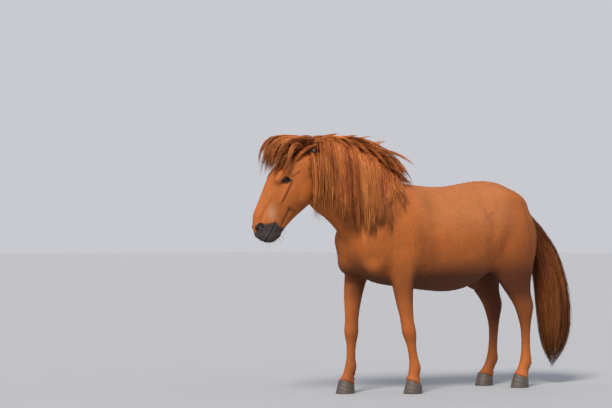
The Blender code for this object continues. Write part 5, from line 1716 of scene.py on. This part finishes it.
def hair_group():
    """The colours of long hair: each strand has its own tone, dark at the root with painted shade there and deep in
    its lock, and paler to the tip.
    """
    if "Hair Colours" in bpy.data.node_groups:
        return bpy.data.node_groups["Hair Colours"]
    tree = bpy.data.node_groups.new("Hair Colours", "ShaderNodeTree")
    start, end = group_sockets(
        tree,
        [
            ("Root", "NodeSocketColor", (0.1, 0.03, 0.01, 1)),
            ("Middle", "NodeSocketColor", (0.4, 0.14, 0.04, 1)),
            ("Tip", "NodeSocketColor", (0.6, 0.28, 0.12, 1)),
            ("Tone", "NodeSocketColor", (0.5, 0.5, 0.5, 1)),
        ],
        [("Color", "NodeSocketColor"), ("Height", "NodeSocketFloat")],
    )
    tone = parts_of(tree, start.outputs["Tone"])
    fine = ranged(tree, noise(tree, 260.0, 2.0, (1, 1, 0.08)), 0.3, 0.7)
    wide = ranged(tree, noise(tree, 7.0, 3.0, (1, 1, 0.5)), 0.35, 0.65, 0.0, 0.5)
    colour = mixed(tree, start.outputs["Middle"], start.outputs["Tip"], ranged(tree, tone["Red"], 0.35, 1.0))
    colour = mixed(tree, start.outputs["Root"], colour, ranged(tree, tone["Red"], 0.0, 0.45, 0.25, 1.0))
    # Painted shade near the root of each strand.
    colour = mixed(tree, start.outputs["Root"], colour, ranged(tree, tone["Green"], 0.0, 0.18, 0.45, 1.0))
    colour = mixed(tree, colour, start.outputs["Tip"], ranged(tree, tone["Green"], 0.55, 1.0, 0.0, 0.45))
    colour = mixed(tree, colour, start.outputs["Root"], wide)
    # Painted shade on the strands that lie deep in their lock.
    colour = mixed(tree, colour, start.outputs["Root"], ranged(tree, tone["Blue"], 0.0, 0.5, 0.50, 0.0))
    colour = mixed(tree, colour, start.outputs["Root"], ranged(tree, fine, 0.0, 1.0, 0.0, 0.35))
    tree.links.new(colour, end.inputs["Color"])
    tree.links.new(fine, end.inputs["Height"])
    return tree


def attribute(tree, name):
    """The node that reads the values that the points have under a name."""
    node = tree.nodes.new("ShaderNodeAttribute")
    node.attribute_name = name
    return node


def bumped(tree, shader, height, strength, distance):
    """Gives a shader small bumps."""
    bump = tree.nodes.new("ShaderNodeBump")
    bump.inputs["Strength"].default_value = strength
    bump.inputs["Distance"].default_value = distance
    tree.links.new(height, bump.inputs["Height"])
    tree.links.new(bump.outputs["Normal"], shader.inputs["Normal"])


def coat_material(name, tufted):
    """The finish of skin and short coat."""
    if name in bpy.data.materials:
        return bpy.data.materials[name]
    settings = panel_settings()
    made, tree, shader = new_finish(name, 0.60, 0.18)
    group = tree.nodes.new("ShaderNodeGroup")
    group.node_tree = coat_group()
    marks = attribute(tree, "marks")
    group.inputs["Coat"].default_value = (*settings.coat_colour, 1)
    group.inputs["Shade"].default_value = (*settings.shade_colour, 1)
    group.inputs["Muzzle"].default_value = (*settings.muzzle_colour, 1)
    group.inputs["Pale"].default_value = (*settings.pale_colour, 1)
    tree.links.new(marks.outputs["Color"], group.inputs["Marks"])
    tree.links.new(marks.outputs["Alpha"], group.inputs["Shadow Mark"])
    colour = group.outputs["Color"]
    if tufted:
        tone = parts_of(tree, attribute(tree, "tone").outputs["Color"])
        colour = mixed(tree, colour, settings.shade_colour, ranged(tree, tone["Red"], 0.0, 1.0, 0.16, 0.0))
        light = mixed(tree, colour, (0.62, 0.27, 0.10), 0.16)
        colour = mixed(tree, colour, light, tone["Green"])
    else:
        bumped(tree, shader, group.outputs["Height"], 0.22, 0.0010)
    tree.links.new(colour, shader.inputs["Base Color"])
    return made


def hair_material(name, tone=1.0):
    """The finish of long hair. A tone below 1 makes it darker, and one above 1 paints light on it."""
    if name in bpy.data.materials:
        return bpy.data.materials[name]
    settings = panel_settings()
    made, tree, shader = new_finish(name, 0.50, 0.18)
    group = tree.nodes.new("ShaderNodeGroup")
    group.node_tree = hair_group()
    group.inputs["Root"].default_value = (*(tone * c for c in settings.hair_root_colour), 1)
    group.inputs["Middle"].default_value = (*(tone * c for c in settings.hair_colour), 1)
    group.inputs["Tip"].default_value = (*(tone * c for c in settings.hair_tip_colour), 1)
    tree.links.new(attribute(tree, "tone").outputs["Color"], group.inputs["Tone"])
    tree.links.new(group.outputs["Color"], shader.inputs["Base Color"])
    bumped(tree, shader, group.outputs["Height"], 0.3, 0.001)
    return made


def hoof_material():
    """The finish of the hooves: dark horn with rings and streaks."""
    if "Hoof Horn" in bpy.data.materials:
        return bpy.data.materials["Hoof Horn"]
    settings = panel_settings()
    made, tree, shader = new_finish("Hoof Horn", 0.52)
    dark = tuple(0.45 * c for c in settings.horn_colour)
    pale = tuple(min(1.0, 2.1 * c) for c in settings.horn_colour)
    rings = ranged(tree, noise(tree, 22.0, 4.0, (0.5, 0.5, 6.0)), 0.3, 0.7)
    streaks = ranged(tree, noise(tree, 90.0, 3.0, (1.6, 1.6, 0.15)), 0.3, 0.7)
    colour = mixed(tree, settings.horn_colour, dark, rings)
    colour = mixed(tree, colour, pale, ranged(tree, streaks, 0.0, 1.0, 0.0, 0.35))
    tree.links.new(colour, shader.inputs["Base Color"])
    bumped(tree, shader, streaks, 0.3, 0.0008)
    return made


def eye_material():
    """The finish of the eyes: dark, with a long pupil and a dark edge."""
    if "Dark Eye" in bpy.data.materials:
        return bpy.data.materials["Dark Eye"]
    settings = panel_settings()
    made, tree, shader = new_finish("Dark Eye", 0.08, 0.20)
    parts = parts_of(tree, attribute(tree, "iris").outputs["Color"])
    fibres = ranged(tree, noise(tree, 700.0, 3.0), 0.3, 0.7)
    iris = mixed(tree, settings.eye_colour, tuple(0.35 * c for c in settings.eye_colour), fibres)
    squares = []
    for part, size in (("Red", 0.20), ("Green", 0.09)):
        off = maths(tree, "DIVIDE", maths(tree, "SUBTRACT", parts[part], 0.5), size)
        squares.append(maths(tree, "POWER", off, 2.0))
    pupil = ranged(tree, maths(tree, "ADD", *squares), 0.8, 1.2)
    colour = mixed(tree, (0.002, 0.002, 0.003), iris, pupil)
    colour = mixed(tree, (0.02, 0.012, 0.010), colour, ranged(tree, parts["Blue"], 0.55, 0.66))
    tree.links.new(colour, shader.inputs["Base Color"])
    return made


def ear_material():
    """The finish of the ears: coat outside and dark skin inside."""
    if "Ear Skin" in bpy.data.materials:
        return bpy.data.materials["Ear Skin"]
    settings = panel_settings()
    made, tree, shader = new_finish("Ear Skin", 0.65, 0.18)
    parts = parts_of(tree, attribute(tree, "marks").outputs["Color"])
    grain = ranged(tree, noise(tree, 300.0, 3.0, (1, 1, 0.4)), 0.3, 0.7)
    outer = mixed(tree, settings.coat_colour, settings.shade_colour, ranged(tree, grain, 0.0, 1.0, 0.0, 0.22))
    inner = mixed(tree, (0.045, 0.018, 0.010), (0.14, 0.055, 0.025), grain)
    colour = mixed(tree, outer, inner, parts["Blue"])
    colour = mixed(tree, colour, (0.05, 0.02, 0.01), ranged(tree, parts["Red"], 0.0, 1.0, 0.0, 0.6))
    tree.links.new(colour, shader.inputs["Base Color"])
    bumped(tree, shader, grain, 0.4, 0.001)
    return made


def bare_material():
    """The dark skin of the lids."""
    made, tree, shader = new_finish("Bare Skin", 0.45, 0.30)
    grain = ranged(tree, noise(tree, 500.0, 4.0), 0.3, 0.7)
    tree.links.new(mixed(tree, (0.030, 0.018, 0.014), (0.012, 0.008, 0.007), grain), shader.inputs["Base Color"])
    bumped(tree, shader, grain, 0.3, 0.0006)
    return made


def whisker_material():
    """The finish of the lashes and whiskers."""
    made, tree, shader = new_finish("Whiskers", 0.5)
    colour = mixed(tree, (0.02, 0.012, 0.010), (0.06, 0.03, 0.02), noise(tree, 60.0))
    tree.links.new(colour, shader.inputs["Base Color"])
    return made


def floor_material():
    """The finish of the floor."""
    made, tree, shader = new_finish("Pale Floor", 0.85)
    colour = mixed(tree, (0.33, 0.33, 0.34), (0.36, 0.36, 0.37), noise(tree, 3.0, 4.0))
    tree.links.new(colour, shader.inputs["Base Color"])
    return made


def finished(made, finish, slot, *nodes):
    """Gives a piece its finish and tells the frame what it rides on and stands for."""
    if finish is not None:
        made.data.materials.clear()
        made.data.materials.append(finish)
    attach(made, "root")
    if nodes:
        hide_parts(*nodes)
        for node in nodes:
            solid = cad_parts[node]
            solid.data.materials.clear()
            solid.data.materials.append(made.data.materials[0])
    return made


def panel_settings():
    """The settings of the panel."""
    return bpy.context.scene.horse


class HorseSettings(bpy.types.PropertyGroup):
    """What the panel can change before the horse is built."""

    coat_depth: bpy.props.FloatProperty(
        name="Coat Depth", description="How far the skin lies under the tips of the coat",
        default=0.0035, min=0.0005, max=0.01, unit="LENGTH",
    )
    tuft_length: bpy.props.FloatProperty(
        name="Tuft Length", description="Length of the tufts on the trunk",
        default=0.015, min=0.005, max=0.06, unit="LENGTH",
    )
    tuft_width: bpy.props.FloatProperty(
        name="Tuft Width", description="Width of the tufts on the trunk",
        default=0.0032, min=0.001, max=0.02, unit="LENGTH",
    )
    tufts: bpy.props.IntProperty(
        name="Tufts", description="Tufts in each part of the coat",
        default=44000, min=1000, max=49000,
    )
    strands: bpy.props.IntProperty(
        name="Strands", description="Strands in each part of the mane and tail",
        default=4000, min=500, max=4200,
    )
    strand_width: bpy.props.FloatProperty(
        name="Strand Width", description="Width of the strands of long hair",
        default=0.0036, min=0.001, max=0.01, unit="LENGTH",
    )
    bristle: bpy.props.FloatProperty(
        name="Whisker Thickness", description="Half thickness of lashes and whiskers",
        default=0.0004, min=0.0001, max=0.002, unit="LENGTH",
    )
    coat_colour: bpy.props.FloatVectorProperty(
        name="Coat", description="Colour of the coat in the light",
        default=(0.470, 0.125, 0.023), subtype="COLOR", min=0, max=1,
    )
    # The coat's dark colour: it gives the random mottling and paints the shade under the belly, between the legs, in
    # the creases and on the parts away from the light.
    shade_colour: bpy.props.FloatVectorProperty(
        name="Coat Shade", description="Colour deep in the coat",
        default=(0.075, 0.019, 0.007), subtype="COLOR", min=0, max=1,
    )
    muzzle_colour: bpy.props.FloatVectorProperty(
        name="Muzzle", description="Colour of the muzzle",
        default=(0.045, 0.034, 0.031), subtype="COLOR", min=0, max=1,
    )
    # This colour also paints the light on the top of the trunk.
    pale_colour: bpy.props.FloatVectorProperty(
        name="Pale Patch", description="Colour of the patch behind the nostril",
        default=(0.46, 0.235, 0.115), subtype="COLOR", min=0, max=1,
    )
    hair_colour: bpy.props.FloatVectorProperty(
        name="Long Hair", description="Colour of the mane, forelock and tail",
        default=(0.540, 0.130, 0.024), subtype="COLOR", min=0, max=1,
    )
    # The dark colour of long hair: it paints the shade at the roots and deep in the locks, and darkens some strands at
    # random.
    hair_root_colour: bpy.props.FloatVectorProperty(
        name="Hair Roots", description="Colour of long hair at its roots",
        default=(0.130, 0.026, 0.006), subtype="COLOR", min=0, max=1,
    )
    hair_tip_colour: bpy.props.FloatVectorProperty(
        name="Hair Tips", description="Colour of the palest tips",
        default=(0.780, 0.290, 0.080), subtype="COLOR", min=0, max=1,
    )
    tail_tone: bpy.props.FloatProperty(
        name="Tail Tone", description="How light the tail is against the mane",
        default=0.45, min=0.05, max=1.0, subtype="FACTOR",
    )
    horn_colour: bpy.props.FloatVectorProperty(
        name="Hooves", description="Colour of the hooves",
        default=(0.075, 0.055, 0.042), subtype="COLOR", min=0, max=1,
    )
    eye_colour: bpy.props.FloatVectorProperty(
        name="Iris", description="Colour of the iris",
        default=(0.018, 0.008, 0.004), subtype="COLOR", min=0, max=1,
    )


class HORSE_OT_skin(bpy.types.Operator):
    """Make the skin of the body with its marks, painted shade and painted light"""

    bl_idname = "horse.skin"
    bl_label = "Skin"

    def execute(self, context):
        body = body_shape()
        skin = array_object("skin", body["turned"] + ORIGIN_SHIFT, body["triangles"])
        add_colours(skin, "marks", body["marks"])
        legs = [f"leg_{end}_{side}" for end in ("fore", "hind") for side in ("left", "right")]
        finished(skin, coat_material("Skin With Short Coat", False), "torso", "head", "neck", "torso", *legs)
        return {"FINISHED"}


class HORSE_OT_ears(bpy.types.Operator):
    """Make the ears and the soft hair on them"""

    bl_idname = "horse.ears"
    bl_label = "Ears"

    def execute(self, context):
        for side, word in ((LEFT, "left"), (RIGHT, "right")):
            finished(make_ear(side, f"ear_cup_{word}"), ear_material(), f"ear_{word}", f"ear_{word}")
        finished(ear_tufts(), coat_material("Coat Tufts", True), "ear_left")
        return {"FINISHED"}


class HORSE_OT_eyes(bpy.types.Operator):
    """Make the eyes, their lids, the lashes and the whiskers"""

    bl_idname = "horse.eyes"
    bl_label = "Eyes"

    def execute(self, context):
        for side, word in ((LEFT, "left"), (RIGHT, "right")):
            finished(eyeball(side, f"eyeball_{word}"), eye_material(), f"eye_{word}", f"eye_{word}")
        finished(lid_rims(), bare_material(), "head")
        finished(make_bristles(panel_settings().bristle, whisker_material()), None, "head")
        return {"FINISHED"}


class HORSE_OT_hooves(bpy.types.Operator):
    """Make the four hooves with their growth rings"""

    bl_idname = "horse.hooves"
    bl_label = "Hooves"

    def execute(self, context):
        words = ("fore_left", "fore_right", "hind_left", "hind_right")
        for seed, (word, (x, y)) in enumerate(zip(words, SOLE_CENTRES)):
            finished(make_hoof(f"horn_{word}", x, y, seed), hoof_material(), f"hoof_{word}", f"hoof_{word}")
        return {"FINISHED"}


class HORSE_OT_coat(bpy.types.Operator):
    """Make the short coat as tufts on the skin"""

    bl_idname = "horse.coat"
    bl_label = "Short Coat"

    def execute(self, context):
        def trunk(at, _):
            return (at[:, 0] < 0.0) * (at[:, 2] > 0.62) * ~on_head(at) * 1.0

        def hindquarters(at, _):
            return (at[:, 0] >= 0.0) * (at[:, 2] > 0.62) * 1.0

        def limbs(at, _):
            return (at[:, 2] <= 0.62) * (at[:, 2] > 0.095) * 1.0

        def face(at, marks):
            s, _, _ = face_places(at)
            bare_skin_and_shade = marks[:, 2] + 1.0 * near_eye(at, 0.026)
            return on_head(at) * np.clip(1 - bare_skin_and_shade, 0, 1) * (1 - 0.75 * ease(s, 0.46, 0.54))

        count = panel_settings().tufts
        for name, where, share, slot in (
            ("coat_front", trunk, 1.0, "torso"),
            ("coat_back", hindquarters, 1.0, "torso"),
            ("coat_limbs", limbs, 0.55, "leg_fore_left"),
            ("coat_face", face, 0.75, "head"),
        ):
            made = make_tufts(name, where, int(count * share), len(name))
            finished(made, coat_material("Coat Tufts", True), slot)
        return {"FINISHED"}


class HORSE_OT_mane(bpy.types.Operator):
    """Make the mane on both sides of the crest and over its top"""

    bl_idname = "horse.mane"
    bl_label = "Mane"

    def execute(self, context):
        count = panel_settings().strands
        for kind, guides, share, seed in (("near", 170, 1.0, 3), ("top", 130, 0.95, 4), ("far", 90, 0.70, 5)):
            made = make_strands(f"mane_{kind}", mane_guides(kind, guides, seed), int(count * share), seed + 20)
            # The hair blown over the top gets a lighter copy of the hair finish, as painted light.
            finish = hair_material("Blown Hair", 1.3) if kind == "top" else hair_material("Long Hair")
            finished(made, finish, "mane", *(["mane"] if kind == "near" else []))
        return {"FINISHED"}


class HORSE_OT_forelock(bpy.types.Operator):
    """Make the forelock over the forehead"""

    bl_idname = "horse.forelock"
    bl_label = "Forelock"

    def execute(self, context):
        made = make_strands("forelock_hair", forelock_guides(200, 6), int(panel_settings().strands * 1.10), 31)
        finished(made, hair_material("Long Hair"), "forelock", "forelock")
        return {"FINISHED"}


class HORSE_OT_tail(bpy.types.Operator):
    """Make the tail"""

    bl_idname = "horse.tail"
    bl_label = "Tail"

    def execute(self, context):
        made = make_strands("tail_hair", tail_guides(150, 8), panel_settings().strands, 41)
        finished(made, hair_material("Tail Hair", panel_settings().tail_tone), "tail", "tail")
        return {"FINISHED"}


class HORSE_OT_stage(bpy.types.Operator):
    """Make the floor, the lights and the camera"""

    bl_idname = "horse.stage"
    bl_label = "Stage"

    def execute(self, context):
        scene = context.scene
        points = [(40 * math.cos(a), 40 * math.sin(a), 0) for a in np.linspace(0, 2 * math.pi, 49)[:-1]]
        floor = mesh_object("floor", points, [range(48)])
        floor.data.materials.append(floor_material())
        for name, place, size, power, colour in (
            ("key", (-4.6, -3.6, 6.8), 18, 3.7, (1.0, 0.95, 0.88)),
            ("fill", (5.5, -4.0, 3.0), 50, 0.25, (0.90, 0.95, 1.0)),
        ):
            light = bpy.data.lights.new(name, "SUN")
            light.angle = math.radians(size)
            light.energy = power
            light.color = colour
            lamp = linked(name, light)
            lamp.location = place
            aim = Vector((-0.1, 0, 0.9)) - Vector(place)
            lamp.rotation_euler = aim.to_track_quat("-Z", "Y").to_euler()
        world = bpy.data.worlds.new("Soft Room")
        scene.world = world
        world.use_nodes = True
        ground = world.node_tree.nodes["Background"]
        seen = world.node_tree.nodes.new("ShaderNodeLightPath")
        shade = world.node_tree.nodes.new("ShaderNodeMix")
        shade.data_type = "RGBA"
        shade.inputs[6].default_value = (0.62, 0.66, 0.74, 1)
        shade.inputs[7].default_value = (0.58, 0.59, 0.63, 1)
        world.node_tree.links.new(seen.outputs["Is Camera Ray"], shade.inputs[0])
        world.node_tree.links.new(shade.outputs[2], ground.inputs["Color"])
        ground.inputs["Strength"].default_value = 1.0
        scene.view_settings.view_transform = "Standard"
        view = bpy.data.cameras.new("camera")
        view.sensor_width = 36.0
        view.lens = view.sensor_width * FOCAL_DOTS / PICTURE_WIDTH
        camera = linked("camera", view)
        target = -0.845 * CAMERA_RIGHT + ORIGIN_SHIFT + (0, 0, CAMERA_HEIGHT)
        camera.location = target + CAMERA_AWAY * CAMERA_BACK
        camera.rotation_euler = (Vector(target) - camera.location).to_track_quat("-Z", "Y").to_euler()
        view.clip_end = 200
        scene.camera = camera
        return {"FINISHED"}


class HORSE_PT_panel(bpy.types.Panel):
    """The steps that build the horse"""

    bl_label = "Long-maned Horse"
    bl_idname = "HORSE_PT_panel"
    bl_space_type = "VIEW_3D"
    bl_region_type = "UI"
    bl_category = "Horse"

    def draw(self, context):
        layout = self.layout
        for step in STEPS:
            layout.operator(step.bl_idname)
        for name in HorseSettings.__annotations__:
            layout.prop(context.scene.horse, name)


STEPS = (
    HORSE_OT_skin, HORSE_OT_ears, HORSE_OT_eyes, HORSE_OT_hooves, HORSE_OT_coat,
    HORSE_OT_mane, HORSE_OT_forelock, HORSE_OT_tail, HORSE_OT_stage,
)


def register():
    """Makes the operators, the panel and its settings known."""
    for kind in (HorseSettings, *STEPS, HORSE_PT_panel):
        bpy.utils.register_class(kind)
    bpy.types.Scene.horse = bpy.props.PointerProperty(type=HorseSettings)


def unregister():
    """Takes the operators, the panel and its settings away again."""
    del bpy.types.Scene.horse
    for kind in (HORSE_PT_panel, *reversed(STEPS), HorseSettings):
        bpy.utils.unregister_class(kind)


def main():
    """Builds the horse and its stage step by step."""
    register()
    bpy.ops.horse.skin()
    bpy.ops.horse.ears()
    bpy.ops.horse.eyes()
    bpy.ops.horse.hooves()
    bpy.ops.horse.coat()
    bpy.ops.horse.mane()
    bpy.ops.horse.forelock()
    bpy.ops.horse.tail()
    bpy.ops.horse.stage()


if __name__ == "__main__":
    main()
